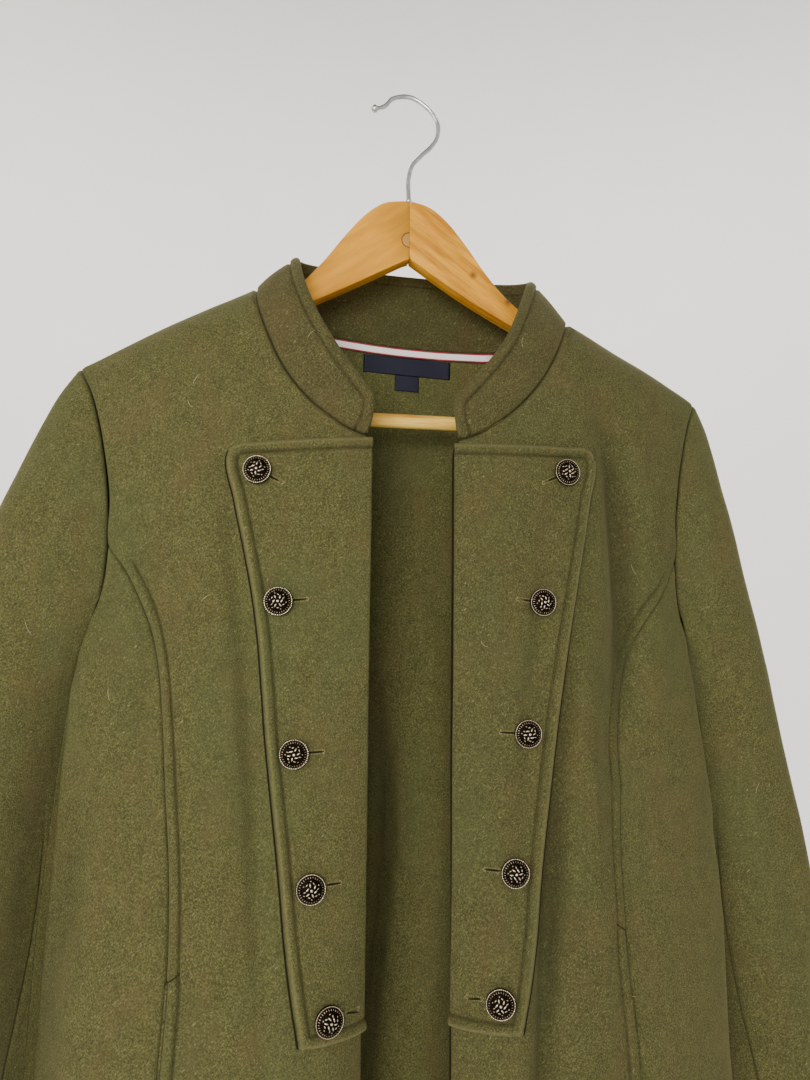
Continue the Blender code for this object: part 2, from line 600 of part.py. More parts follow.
def back_panel(seams, material):
    """The whole back in one piece, from side seam to side seam."""
    mirror = np.array((-1.0, 1.0))
    half_top = np.vstack((seams.back_neck[::-1], seams.shoulder[1:]))
    outer = np.vstack((seams.back_armhole, seams.side[1:]))
    top = np.vstack((half_top[:0:-1] * mirror, half_top))
    turn = np.sin(top[:, 0] / top[-1, 0] * math.pi / 2)
    foot = np.column_stack((turn * outer[-1, 0], np.full(len(turn), HEM_HEIGHT)))
    flat = patch(top, foot, outer * mirror, outer)
    points = body_points(flat, 1, 1.0)
    inward = body_inward(flat, 1, 1.0)
    neck = len(seams.front_neck) - 1
    shoulder = len(seams.shoulder) - 1
    armhole = len(seams.back_armhole)
    inward[0, :shoulder] = ridge_inward(-1.0)
    inward[0, -shoulder:] = ridge_inward(1.0)
    inward[0, shoulder:-shoulder] = seams.neck_inward[neck:-neck]
    for side, column in ((-1.0, 0), (1.0, -1)):
        ring_inward = seams.armholes[side][1]
        inward[:, column] = (-side, 0.0, 0.0)
        inward[0, column] = ring_inward[0]
        inward[1:armhole, column] = ring_inward[:-armhole:-1]
    wall("back_panel", drawn_in(points, inward), inward, CLOTH, material)


def plastron(side, side_name, material):
    """The tapering panel on a front, made from the front's own points moved out."""
    columns = np.linspace(0.0, 1.0, PLASTRON_COLUMNS)
    rows = np.linspace(0.0, 1.0, PLASTRON_ROWS)
    outer_edge = curve(PLASTRON_OUTER[side_name], rows)
    inner_height, outer_height = PLASTRON_TOP[side_name]
    top_inner = np.array((PLASTRON_INNER_X, inner_height))
    top_outer = np.array((outer_edge[0, 0], outer_height))
    foot_inner = np.array((PLASTRON_INNER_X, PLASTRON_FOOT_HEIGHT))
    corner = top_outer - PLASTRON_CORNER * (1 - math.sqrt(0.5))

    def between(first, last, shares):
        return first + np.asarray(shares)[:, None] * (last - first)

    top = np.vstack((between(top_inner, top_outer - (PLASTRON_CORNER, 0.0), columns), corner))
    outer = np.vstack((corner, outer_edge))
    inner = between(top_inner, foot_inner, np.concatenate(([0.0], 0.01 + 0.99 * rows)))
    foot = between(foot_inner, outer_edge[-1], np.concatenate((0.98 * columns, [1.0])))
    flat = patch(top, foot, inner, outer)
    outward = -body_inward(flat, -1, side)
    base = body_points(flat, -1, side) + outward * LAYER_GAP
    wall(f"plastron_{side_name}", base + outward * PLASTRON_CLOTH, -outward, PLASTRON_CLOTH,
         material)


def stand_collar(seams, material):
    """The stand collar, from one rounded front end round the back to the other."""
    edge = np.array(COLLAR_EDGE)
    top = np.vstack((edge * (-1, 1, 1), edge[-2::-1]))
    parts = np.asarray(COLLAR_PARTS)[:, None, None]
    grid = seams.neck_points[None] + parts * (top - seams.neck_points)[None]
    inward = grid_inward(grid, -grid * (1.0, 1.0, 0.0))
    grid = grid - inward * np.sin(parts * math.pi) * COLLAR_BOW
    inward[0] = seams.neck_inward
    wall("stand_collar", drawn_in(grid, inward, RING_GAP), inward, CLOTH, material)


def sleeve_ring(cuts, part, angles, side):
    """One ring of a sleeve at a part of its length, at the given angles round it."""
    cut = SleeveCut(*smooth([row.part for row in cuts], cuts, part))
    inner_share = (1 - np.cos(angles)) / 2
    bulge = cut.depth * np.sign(np.sin(angles)) * np.abs(np.sin(angles)) ** SLEEVE_ROUNDNESS
    x = cut.outer_x + inner_share * (cut.inner_x - cut.outer_x)
    y = cut.outer_y + inner_share * (cut.inner_y - cut.outer_y) - bulge
    z = cut.outer_z + inner_share * (cut.inner_z - cut.outer_z)
    return np.column_stack((side * x, y, z))


def sleeves(seams, side, side_name, material):
    """A two-piece sleeve, cut from one tube that starts on the armhole."""
    cuts = RIGHT_SLEEVE if side > 0 else LEFT_SLEEVE
    ring, ring_inward = seams.armholes[side]
    under = len(seams.front_armhole) + len(seams.lower_armhole) - 2
    drop = (ring[0, 2] - ring[:, 2]) / (ring[0, 2] - ring[under, 2])
    angles = np.arccos(np.clip(1 - 2 * drop, -1.0, 1.0))
    angles[under + 1:] = 2 * math.pi - angles[under + 1:]
    first = sleeve_ring(cuts, 0.0, angles, side)
    tube = np.array([ring + sleeve_ring(cuts, part, angles, side) - first
                     + eased(part / SLEEVE_BLEND) * (first - ring) for part in SLEEVE_PARTS])
    closed = np.concatenate((tube[:, -1:], tube, tube[:, :1]), axis=1)
    inward = unit(np.cross(np.gradient(tube, axis=0), closed[:, 2:] - closed[:, :-2]))
    to_middle = tube[-1].mean(axis=0) - tube[-1]
    inward = inward * np.sign((inward[-1] * to_middle).sum())
    inward[0] = ring_inward
    front_seam = len(seams.front_armhole) - 1 + FRONT_SEAM_STEP[side_name]
    hind_seam = tube.shape[1] - HIND_SEAM_STEP
    top = [index % tube.shape[1] for index in range(hind_seam, tube.shape[1] + front_seam + 1)]
    for name, columns in (("top_sleeve", top),
                          ("under_sleeve", range(front_seam, hind_seam + 1))):
        grid = tube[:, list(columns)]
        into = inward[:, list(columns)]
        wall(f"{name}_{side_name}", drawn_in(grid, into, RING_GAP), into, CLOTH, material)


# ---------------------------------------------------------------- trims

def back_trim(name, middle_x, half_width, top, height, gap, thickness, columns, material):
    """A strip or label on the inner side of the back, below the collar seam."""
    across = np.linspace(middle_x - half_width, middle_x + half_width, columns + 1)
    flat = np.empty((3, columns + 1, 2))
    for row, share in enumerate((0.0, 0.5, 1.0)):
        flat[row, :, 0] = across
        flat[row, :, 1] = [top(x) - share * height for x in across]
    inward = body_inward(flat, 1, 1.0)
    base = body_points(flat, 1, 1.0) + inward * (CLOTH + gap)
    wall(name, base, inward, thickness, material)


def neck_trims(seams, tape_material, label_material):
    """The neck tape and the two bare labels under it."""
    neck = seams.back_neck[::-1]

    def below_seam(distance):
        return lambda x: float(np.interp(abs(x), neck[:, 0], neck[:, 1])) - distance

    back_trim("neck_tape", 0.0, TAPE_HALF_WIDTH, below_seam(0.0008), TAPE_HEIGHT, LAYER_GAP,
              TAPE_THICKNESS, 12, tape_material)
    label_top = below_seam(0.0)(LABEL_MIDDLE_X) - 0.0008 - TAPE_HEIGHT - SEAM_GAP
    back_trim("neck_label", LABEL_MIDDLE_X, LABEL_SIZE[0] / 2, lambda x: label_top, LABEL_SIZE[1],
              LAYER_GAP, TRIM_THICKNESS, 8, label_material)
    size_top = label_top - LABEL_SIZE[1] - SEAM_GAP
    back_trim("size_label", LABEL_MIDDLE_X, SIZE_LABEL_SIZE[0] / 2, lambda x: size_top,
              SIZE_LABEL_SIZE[1], LAYER_GAP, TRIM_THICKNESS, 3, label_material)


def buttons(material):
    """Domed shank buttons on the plastrons, turned to face out of the cloth."""
    for number, row in enumerate(BUTTON_ROWS, start=1):
        for side_name, x, height in (("left", -row.left_x, row.left_height),
                                     ("right", row.right_x, row.right_height)):
            flat = np.array((abs(x), height))[None]
            side = SIDES[side_name]
            outward = Vector(-body_inward(flat, -1, side)[0])
            place = Vector(body_points(flat, -1, side)[0])
            place += outward * (LAYER_GAP + PLASTRON_CLOTH)
            turn = outward.to_track_quat("Z", "Y").to_matrix().to_4x4()
            turned(f"button_{side_name}_{number}", BUTTON_PROFILE, BUTTON_SEGMENTS,
                   Matrix.Translation(place) @ turn, material)


# ---------------------------------------------------------------- hanger

def hanger_arm(side, side_name, material):
    """A flat wooden arm, from the joint at the middle to its foot inside the armhole."""
    top = curve(ARM_TOP, np.linspace(0.0, 1.0, ARM_TOP_POINTS + 1))
    outline = np.vstack((top, ARM_END, ARM_UNDERSIDE))
    outline[:, 0] = side * outline[:, 0]
    outline[0, 0] = outline[-1, 0] = JOINT_X + side * SEAM_GAP / 2
    solid_of_outline(f"hanger_arm_{side_name}", outline, -WOOD_THICKNESS / 2, WOOD_THICKNESS / 2,
                     material)


def hanger_bar(material):
    """The round bar between the arms' feet."""
    profile = ((0.0, -BAR_HALF_LENGTH), (BAR_RADIUS, -BAR_HALF_LENGTH),
               (BAR_RADIUS, BAR_HALF_LENGTH), (0.0, BAR_HALF_LENGTH))
    place = Matrix.Translation((0.0, 0.0, BAR_HEIGHT)) @ Matrix.Rotation(math.pi / 2, 4, "Y")
    turned("hanger_bar", profile, BAR_SEGMENTS, place, material)


def hanger_hook(material):
    """The bent wire hook with its ball tip, as a curve with a round bevel."""
    points = curve(HOOK_ROUTE, np.linspace(0.0, 1.0, HOOK_POINTS + 1))
    data = bpy.data.curves.new("hanger_hook", "CURVE")
    data.dimensions = "3D"
    data.bevel_depth = WIRE_RADIUS
    data.bevel_resolution = 3
    data.use_fill_caps = True
    spline = data.splines.new("POLY")
    tip = [(TIP_RADIUS * math.cos(angle), TIP_RADIUS * math.sin(angle))
           for angle in np.linspace(math.pi * 0.94, math.pi * 0.22, 6)]
    start = Vector((points[0, 0], 0.0, points[0, 1]))
    heading = Vector((points[2, 0] - points[0, 0], 0.0, points[2, 1] - points[0, 1])).normalized()
    beads = [(start + heading * along, radius) for along, radius in tip]
    past_tip = [point for point in points
                if (Vector((point[0], 0.0, point[1])) - start).length > TIP_RADIUS * 1.1]
    wire = [(Vector((x, 0.0, z)), WIRE_RADIUS) for x, z in past_tip]
    spline.points.add(len(beads) + len(wire) - 1)
    for point, (place, radius) in zip(spline.points, beads + wire):
        point.co = (*place, 1.0)
        point.radius = radius / WIRE_RADIUS
    hook = bpy.data.objects.new("hanger_hook", data)
    data.materials.append(material)
    bpy.context.scene.collection.objects.link(hook)


# ---------------------------------------------------------------- the whole part

def build():
    """Model every piece of the coat and its hanger."""
    for leftover in list(bpy.data.objects):
        bpy.data.objects.remove(leftover, do_unlink=True)
    wool = finish("olive_wool", (0.098, 0.089, 0.037), 0.92)
    tape = finish("neck_tape", (0.72, 0.70, 0.68), 0.85)
    navy = finish("navy_label", (0.012, 0.016, 0.055), 0.7)
    brass = finish("antique_brass", (0.32, 0.27, 0.19), 0.38, 1.0)
    wood = finish("varnished_wood", (0.55, 0.30, 0.11), 0.38)
    steel = finish("bright_wire", (0.60, 0.61, 0.63), 0.16, 1.0)
    seams = Seams()
    back_panel(seams, wool)
    for side_name, side in SIDES.items():
        front_panel(seams, side, side_name, wool)
        side_front_panel(seams, side, side_name, wool)
        plastron(side, side_name, wool)
        sleeves(seams, side, side_name, wool)
        hanger_arm(side, side_name, wood)
    stand_collar(seams, wool)
    neck_trims(seams, tape, navy)
    buttons(brass)
    hanger_bar(wood)
    hanger_hook(steel)


build()
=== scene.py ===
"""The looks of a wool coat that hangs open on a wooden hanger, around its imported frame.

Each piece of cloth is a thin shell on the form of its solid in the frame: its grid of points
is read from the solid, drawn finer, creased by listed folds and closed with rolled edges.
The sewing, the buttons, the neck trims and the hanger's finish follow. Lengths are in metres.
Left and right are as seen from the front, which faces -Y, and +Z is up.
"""

import json
import logging
import math
from dataclasses import dataclass, field
from enum import Enum

import bmesh
import bpy
import numpy as np
from mathutils import Matrix, Vector, noise
from mathutils.bvhtree import BVHTree

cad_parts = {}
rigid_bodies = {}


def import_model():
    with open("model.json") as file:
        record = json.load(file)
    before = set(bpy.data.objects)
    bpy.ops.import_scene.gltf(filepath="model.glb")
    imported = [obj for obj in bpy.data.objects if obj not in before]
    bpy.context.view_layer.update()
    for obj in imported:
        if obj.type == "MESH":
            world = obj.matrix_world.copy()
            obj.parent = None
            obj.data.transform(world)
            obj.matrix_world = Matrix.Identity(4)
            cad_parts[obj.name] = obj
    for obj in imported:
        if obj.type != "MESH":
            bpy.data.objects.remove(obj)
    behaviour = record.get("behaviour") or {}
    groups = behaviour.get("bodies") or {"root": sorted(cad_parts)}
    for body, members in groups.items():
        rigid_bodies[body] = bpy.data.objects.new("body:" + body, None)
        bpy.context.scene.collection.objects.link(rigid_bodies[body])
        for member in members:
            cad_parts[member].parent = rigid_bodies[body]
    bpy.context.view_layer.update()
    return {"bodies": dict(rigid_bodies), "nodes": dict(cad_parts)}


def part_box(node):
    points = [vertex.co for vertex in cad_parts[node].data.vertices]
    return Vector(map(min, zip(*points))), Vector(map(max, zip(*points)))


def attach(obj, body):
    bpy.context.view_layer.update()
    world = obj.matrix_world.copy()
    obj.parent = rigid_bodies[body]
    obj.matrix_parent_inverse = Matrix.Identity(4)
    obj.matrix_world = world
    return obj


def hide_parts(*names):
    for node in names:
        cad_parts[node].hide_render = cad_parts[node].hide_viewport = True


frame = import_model()
BODY = "root"
LOG = logging.getLogger("wool_coat")

MM = 0.001
CLOTH = 2.5 * MM
# How far sewn sides reach into their neighbours, and the shares of that in the lines behind.
SEAL = 0.35 * MM
SEAL_FADE = (1.0, 0.9, 0.6, 0.3, 0.1)
COAT_MIDDLE = Vector((0.0, 0.0, -0.6))


class Side(Enum):
    """A side of the coat as seen from the front; its value is the sign of its X."""

    LEFT = -1
    RIGHT = 1

    @property
    def word(self) -> str:
        """The side's name as the pieces' names carry it."""
        return self.name.lower()


class Face(Enum):
    """Which way a stretch of cloth looks; its value is the sign of its normal's Y."""

    FRONT = -1
    BACK = 1


class Rim(Enum):
    """The four sides of a cloth's grid, as seen from outside the coat."""

    TOP = "top"
    FOOT = "foot"
    LEFT = "left"
    RIGHT = "right"


# ---------------------------------------------------------------- materials

Socket = float | tuple[float, ...] | bpy.types.NodeSocket
BLEND = {"data_type": "RGBA"}
MULTIPLY = {"data_type": "RGBA", "blend_type": "MULTIPLY"}


def linear(colour: str) -> tuple[float, float, float, float]:
    """A linear RGBA colour from an sRGB hex value.

    Args:
        colour: six hexadecimal digits, such as "5f5a36".

    Returns:
        The linear red, green and blue, with an alpha of one.
    """
    channels = [int(colour[start:start + 2], 16) / 255 for start in (0, 2, 4)]
    return (*(c / 12.92 if c <= 0.04045 else ((c + 0.055) / 1.055) ** 2.4 for c in channels), 1.0)


def set_sockets(tree: bpy.types.NodeTree, node: bpy.types.Node, **inputs: Socket) -> None:
    """Sets or links a node's sockets.

    Args:
        tree: the material's node tree.
        node: the node.
        inputs: socket values, or other nodes' outputs to link, by socket name with
            underscores for spaces; "input_N" is the N-th socket.
    """
    for name, value in inputs.items():
        key = int(name[6:]) if name.startswith("input_") else name.replace("_", " ")
        if isinstance(value, bpy.types.NodeSocket):
            tree.links.new(value, node.inputs[key])
        else:
            node.inputs[key].default_value = value


def add_node(tree: bpy.types.NodeTree, kind: str, settings: dict | None = None,
             **inputs: Socket) -> bpy.types.Node:
    """Adds a shader node with its settings and links.

    Args:
        tree: the material's node tree.
        kind: the node's type without its "ShaderNode" prefix.
        settings: attributes of the node by name; "stops" are a ramp's (position, sRGB hex)
            pairs in rising order.
        inputs: what its sockets hold, as set_sockets takes them.

    Returns:
        The new node.
    """
    node = tree.nodes.new("ShaderNode" + kind)
    settings = dict(settings or {})
    stops = settings.pop("stops", ())
    for name, value in settings.items():
        setattr(node, name, value)
    if stops:
        elements = node.color_ramp.elements
        while len(elements) < len(stops):
            elements.new(0.5)
        for element, (position, colour) in zip(elements, stops):
            element.position = position
            element.color = linear(colour)
    set_sockets(tree, node, **inputs)
    return node


@dataclass(frozen=True)
class Finish:
    """A finish of the coat, made once and shared by the pieces that wear it."""

    name: str

    def material(self) -> bpy.types.Material:
        """The finish as a material, built at its first use."""
        found = bpy.data.materials.get(self.name)
        if found is not None:
            return found
        made = bpy.data.materials.new(self.name)
        made.use_nodes = True
        tree = made.node_tree
        self.build(tree, tree.nodes["Principled BSDF"])
        return made

    def build(self, tree: bpy.types.NodeTree, shader: bpy.types.Node) -> None:
        """Adds the finish's nodes. Each finish has its own.

        Args:
            tree: the material's node tree.
            shader: its Principled shader.
        """
        raise NotImplementedError

    @staticmethod
    def noise_at(tree: bpy.types.NodeTree, size: float, detail: float = 3.0,
                 stretch: tuple[float, float, float] = (1.0, 1.0, 1.0),
                 turn: tuple[float, float, float] = (0.0, 0.0, 0.0),
                 roughness: float = 0.55) -> bpy.types.NodeSocket:
        """Noise on Object coordinates, with blots of a real size.

        Args:
            tree: the material's node tree.
            size: the blots' width in metres.
            detail: the noise's octaves.
            stretch: how much finer the noise is along each axis.
            turn: the pattern's rotation in radians.
            roughness: the share that each finer octave adds.

        Returns:
            The noise value's output.
        """
        place = add_node(tree, "TexCoord").outputs["Object"]
        laid = add_node(tree, "Mapping", {"vector_type": "TEXTURE"}, Vector=place, Rotation=turn,
                        Scale=tuple(1.0 / axis for axis in stretch))
        cloud = add_node(tree, "TexNoise", Vector=laid.outputs["Vector"], Scale=1.0 / size,
                         Detail=detail, Roughness=roughness)
        return cloud.outputs["Fac"]

    @staticmethod
    def bump(tree: bpy.types.NodeTree, shader: bpy.types.Node,
             layers: tuple[tuple[bpy.types.NodeSocket, float, float], ...]) -> None:
        """Chains bump layers of (height, depth in metres, strength) into the shader's normal.

        Args:
            tree: the material's node tree.
            shader: its Principled shader.
            layers: the bumps, the coarsest first.
        """
        normal = None
        for height, depth, strength in layers:
            below = {"Normal": normal} if normal else {}
            normal = add_node(tree, "Bump", Height=height, Distance=depth, Strength=strength,
                              **below).outputs["Normal"]
        set_sockets(tree, shader, Normal=normal)


@dataclass(frozen=True)
class BrushedWool(Finish):
    """Heavy woollen coating, brushed: a matt, heathered face under a short soft nap."""

    dark: str = "30301a"
    main: str = "454626"
    light: str = "5f5e39"
    brown: str = "52462b"
    green: str = "414a2b"
    stray: str = "8f8660"
    # colours of painted shade and of painted highlight, laid where the cloth's attributes say
    pressed: str = "17150b"
    raised: str = "77734c"
    tone: float = 1.0

    def build(self, tree: bpy.types.NodeTree, shader: bpy.types.Node) -> None:
        """Blends dyed fibres in streaks of half a millimetre, drifts of 9 to 60 mm and hairs.

        The cloth's attributes say where shade is painted, in seams, stitch lines, folds and under
        edges, and where a highlight is painted on rolled edges.
        """
        # Real fibres are 20 microns wide: the heather is drawn in streaks as wide as a pixel.
        leaning = self.noise_at(tree, 0.56 * MM, 1.0, (1.0, 1.0, 0.35), (0.2, 0.5, 0.0))
        crossing = self.noise_at(tree, 0.62 * MM, 1.0, (1.0, 1.0, 0.45), (-0.2, -0.9, 0.0))
        hairs = self.noise_at(tree, 0.6 * MM, 1.0, (1.0, 1.0, 0.16), (0.2, 0.7, 0.0))
        blots = self.noise_at(tree, 9 * MM, 2.0, (1.0, 1.0, 0.7))
        drifts = self.noise_at(tree, 24 * MM, 3.0, (1.0, 1.0, 0.6))
        patches = self.noise_at(tree, 60 * MM, 2.0, (1.0, 1.0, 0.5))
        tufts = add_node(tree, "Mix", BLEND, Factor=0.5, input_6=leaning,
                         input_7=crossing).outputs[2]
        colour = heather = add_node(tree, "ValToRGB", {"stops": (
            (0.34, self.dark), (0.50, self.main), (0.66, self.light))}, Fac=tufts).outputs["Color"]
        tone = add_node(tree, "MapRange", Value=blots, From_Min=0.3, From_Max=0.7,
                        To_Min=0.92 * self.tone, To_Max=1.08 * self.tone).outputs["Result"]
        warm, cool, stray = (
            add_node(tree, "MapRange", Value=value, From_Min=low, From_Max=high,
                     To_Max=most).outputs["Result"]
            for value, low, high, most in ((drifts, 0.48, 0.70, 0.55), (patches, 0.50, 0.66, 0.50),
                                           (hairs, 0.68, 0.76, 0.55)))
        for share, dye in ((warm, self.brown), (cool, self.green)):
            dyed = add_node(tree, "Mix", BLEND, Factor=0.35, input_6=linear(dye),
                            input_7=heather).outputs[2]
            colour = add_node(tree, "Mix", BLEND, Factor=share, input_6=colour,
                              input_7=dyed).outputs[2]
        colour = add_node(tree, "Mix", MULTIPLY, Factor=1.0, input_6=colour,
                          input_7=tone).outputs[2]
        # painted shade in seams, stitch lines, folds and under edges, and painted highlight on rolled
        # edges
        pressed, raised = (add_node(tree, "Attribute", {"attribute_name": name}).outputs["Fac"]
                           for name in ("pressed", "raised"))
        for share, shade in ((stray, self.stray), (pressed, self.pressed),
                             (raised, self.raised)):
            colour = add_node(tree, "Mix", BLEND, Factor=share, input_6=colour,
                              input_7=linear(shade)).outputs[2]
        set_sockets(tree, shader, Base_Color=colour, Roughness=0.95, Specular_IOR_Level=0.20,
                    Sheen_Weight=0.22, Sheen_Roughness=0.45, Sheen_Tint=linear("b0aa78"))
        fuzz = self.noise_at(tree, 2.2 * MM, 3.0, (1.0, 1.0, 0.6), roughness=0.65)
        self.bump(tree, shader, ((fuzz, 0.7 * MM, 0.22), (tufts, 0.5 * MM, 0.60)))


@dataclass(frozen=True)
class SewingThread(Finish):
    """Spun polyester thread, dyed to the cloth: a little shinier than the wool."""

    colour: str = "38351e"
    glint: str = "57532f"

    def build(self, tree: bpy.types.NodeTree, shader: bpy.types.Node) -> None:
        """Mottles the thread as its twisted plies do."""
        plies = self.noise_at(tree, 0.5 * MM, 2.0)
        colour = add_node(tree, "Mix", BLEND, Factor=plies, input_6=linear(self.colour),
                          input_7=linear(self.glint)).outputs[2]
        set_sockets(tree, shader, Base_Color=colour, Roughness=0.85, Specular_IOR_Level=0.12)
        self.bump(tree, shader, ((plies, 0.1 * MM, 0.5),))


@dataclass(frozen=True)
class VarnishedWood(Finish):
    """Pale hardwood under a satin varnish: fine streaks along the grain and a few knots."""

    slope: float = 0.0
    contrast: float = 0.5
    pale: str = "dda02e"
    dark: str = "ae741a"
    knots: tuple[tuple[float, float], ...] = ()
    plug: tuple[float, float] | None = None
    front: float = -6 * MM

    def build(self, tree: bpy.types.NodeTree, shader: bpy.types.Node) -> None:
        """Streaks the wood along its length and stains its front at the knots and the plug."""
        turn = (0.0, self.slope, 0.0)
        bands = self.noise_at(tree, 5 * MM, 3.0, (0.09, 1.0, 1.0), turn)
        pores = self.noise_at(tree, 1.0 * MM, 3.0, (0.05, 1.0, 1.0), turn, 0.7)
        broad = self.noise_at(tree, 16 * MM, 2.0, (0.25, 1.0, 1.0), turn)
        grain = add_node(tree, "Mix", BLEND, Factor=0.45, input_6=bands, input_7=pores).outputs[2]
        grain = add_node(tree, "Mix", BLEND, Factor=0.3, input_6=grain, input_7=broad).outputs[2]
        spread = 0.10 / self.contrast
        colour = add_node(tree, "ValToRGB", {"stops": (
            (0.5 - spread, self.dark), (0.5 + spread, self.pale))}, Fac=grain).outputs["Color"]
        place = add_node(tree, "TexCoord").outputs["Object"]
        spots = []
        for x, z in self.knots:
            away = add_node(tree, "VectorMath", {"operation": "DISTANCE"}, input_0=place,
                            input_1=(x, self.front, z)).outputs["Value"]
            spots.append((add_node(tree, "MapRange", Value=away, From_Min=0.8 * MM,
                                   From_Max=4.0 * MM, To_Min=0.85, To_Max=0.0).outputs["Result"],
                          "6f4020"))
        if self.plug:
            away = add_node(tree, "VectorMath", {"operation": "DISTANCE"}, input_0=place,
                            input_1=(self.plug[0], self.front, self.plug[1])).outputs["Value"]
            spots.append((add_node(tree, "Math", {"operation": "LESS_THAN"}, input_0=away,
                                   input_1=5.2 * MM).outputs["Value"], "c99a4f"))
            spots.append((add_node(tree, "Math", {"operation": "COMPARE"}, input_0=away,
                                   input_1=5.5 * MM, input_2=0.42 * MM).outputs["Value"],
                          "7c5226"))
        for share, stain in spots:
            colour = add_node(tree, "Mix", BLEND, Factor=share, input_6=colour,
                              input_7=linear(stain)).outputs[2]
        set_sockets(tree, shader, Base_Color=colour, Roughness=0.42, Specular_IOR_Level=0.15,
                    Coat_Weight=0.05, Coat_Roughness=0.3)
        self.bump(tree, shader, ((grain, 0.3 * MM, 0.25),))


@dataclass(frozen=True)
class PlatedWire(Finish):
    """Steel wire under bright plating, with fine drawing marks."""

    def build(self, tree: bpy.types.NodeTree, shader: bpy.types.Node) -> None:
        """Shines the wire and dulls it in small blots."""
        blots = self.noise_at(tree, 3 * MM, 3.0)
        colour = add_node(tree, "ValToRGB", {"stops": ((0.35, "a9abae"), (0.65, "c6c8ca"))},
                          Fac=blots).outputs["Color"]
        rough = add_node(tree, "MapRange", Value=blots, From_Min=0.3, From_Max=0.7,
                         To_Min=0.14, To_Max=0.26).outputs["Result"]
        set_sockets(tree, shader, Base_Color=colour, Roughness=rough, Metallic=1.0)


@dataclass(frozen=True)
class AntiqueBrass(Finish):
    """Die-struck brass, blackened in its hollows and rubbed bright on its relief."""

    def build(self, tree: bpy.types.NodeTree, shader: bpy.types.Node) -> None:
        """Reads how far each place is rubbed from the button's own attribute."""
        worn = add_node(tree, "Attribute", {"attribute_name": "worn"}).outputs["Fac"]
        blots = self.noise_at(tree, 1.2 * MM, 3.0)
        rubbed = add_node(tree, "Mix", BLEND, Factor=0.34, input_6=worn, input_7=blots).outputs[2]
        colour = add_node(tree, "ValToRGB", {"stops": (
            (0.26, "18130d"), (0.42, "43392b"), (0.60, "8d7f66"), (0.80, "e2d9c4"))},
            Fac=rubbed).outputs["Color"]
        rough = add_node(tree, "MapRange", Value=rubbed, From_Min=0.3, From_Max=0.8,
                         To_Min=0.62, To_Max=0.24).outputs["Result"]
        set_sockets(tree, shader, Base_Color=colour, Roughness=rough, Metallic=1.0)
        self.bump(tree, shader, ((blots, 0.08 * MM, 0.5),))


@dataclass(frozen=True)
class WovenTape(Finish):
    """Herringbone twill tape: a pale middle between two narrow coloured borders."""

    def build(self, tree: bpy.types.NodeTree, shader: bpy.types.Node) -> None:
        """Colours the tape across its width and ribs it along its length."""
        uv = add_node(tree, "UVMap").outputs["UV"]
        across = add_node(tree, "SeparateXYZ", Vector=uv).outputs["Y"]
        stripes = add_node(tree, "ValToRGB", {"stops": (
            (0.16, "8e2836"), (0.20, "f0eeec"), (0.82, "f0eeec"), (0.86, "8e2836"))},
            Fac=across).outputs["Color"]
        weft = add_node(tree, "TexWave", {"bands_direction": "DIAGONAL"}, Vector=uv,
                        Scale=1.6).outputs["Fac"]
        shade = add_node(tree, "MapRange", Value=weft, To_Min=0.86, To_Max=1.0).outputs["Result"]
        colour = add_node(tree, "Mix", MULTIPLY, Factor=1.0, input_6=stripes,
                          input_7=shade).outputs[2]
        set_sockets(tree, shader, Base_Color=colour, Roughness=0.8)
        self.bump(tree, shader, ((weft, 0.1 * MM, 0.5),))


@dataclass(frozen=True)
class SatinLabel(Finish):
    """Damask label in dark blue satin weave, bare of words: fine ribs and a soft gloss."""

    def build(self, tree: bpy.types.NodeTree, shader: bpy.types.Node) -> None:
        """Ribs the satin along the label."""
        uv = add_node(tree, "UVMap").outputs["UV"]
        ribs = add_node(tree, "TexWave", {"bands_direction": "Y"}, Vector=uv,
                        Scale=5.0).outputs["Fac"]
        specks = self.noise_at(tree, 0.8 * MM, 3.0)
        colour = add_node(tree, "Mix", BLEND, Factor=specks, input_6=linear("080b1e"),
                          input_7=linear("10142c")).outputs[2]
        set_sockets(tree, shader, Base_Color=colour, Roughness=0.6, Specular_IOR_Level=0.25)
        self.bump(tree, shader, ((ribs, 0.06 * MM, 0.4), (specks, 0.06 * MM, 0.4)))


@dataclass(frozen=True)
class StudioPaint(Finish):
    """Matt pale paint of the floor and the walls round the coat."""

    def build(self, tree: bpy.types.NodeTree, shader: bpy.types.Node) -> None:
        """Mottles the paint very faintly."""
        colour = add_node(tree, "ValToRGB", {"stops": ((0.3, "d6d2cd"), (0.7, "d9d5d1"))},
                          Fac=self.noise_at(tree, 0.4, 2.0)).outputs["Color"]
        set_sockets(tree, shader, Base_Color=colour, Roughness=0.9, Emission_Color=linear("f4f1ee"),
                    Emission_Strength=0.30)


WOOL = BrushedWool("brushed_olive_wool")
# The collar wears a darker, slightly browner copy of the wool: its darkness is painted shade.
SHADED_COLLAR_WOOL = BrushedWool("brushed_olive_wool_across", main="494628", tone=0.82)
# The back wears a lighter copy of the wool: painted light on its inner side, seen between the fronts.
LIT_BACK_WOOL = BrushedWool("brushed_olive_wool_inside", tone=1.24)
# The right front and plastron wear a darker copy of the wool: painted shade, falling off to the
# right.
SHADED_RIGHT_WOOL = BrushedWool("brushed_olive_wool_right", tone=0.92)
THREAD = SewingThread("olive_sewing_thread")
# The buttonhole thread is paler than the cloth: painted highlight on its raised stitches.
PALE_THREAD = SewingThread("pale_buttonhole_thread", "5a5633", "948c62")
# Dark cords and beads of this finish are painted shade in cracks and slits; the pocket bars wear it
# as dark thread.
SHADOWED = SewingThread("dark_facing_edge", "151309", "211e0f")
HAIR = SewingThread("stray_pale_hair", "8f8869", "b0a98c")
BRASS = AntiqueBrass("rubbed_dark_brass")
TAPE = WovenTape("twill_neck_tape")
LABEL = SatinLabel("navy_satin_label")
WIRE = PlatedWire("plated_steel_wire")


# ---------------------------------------------------------------- pieces and curves

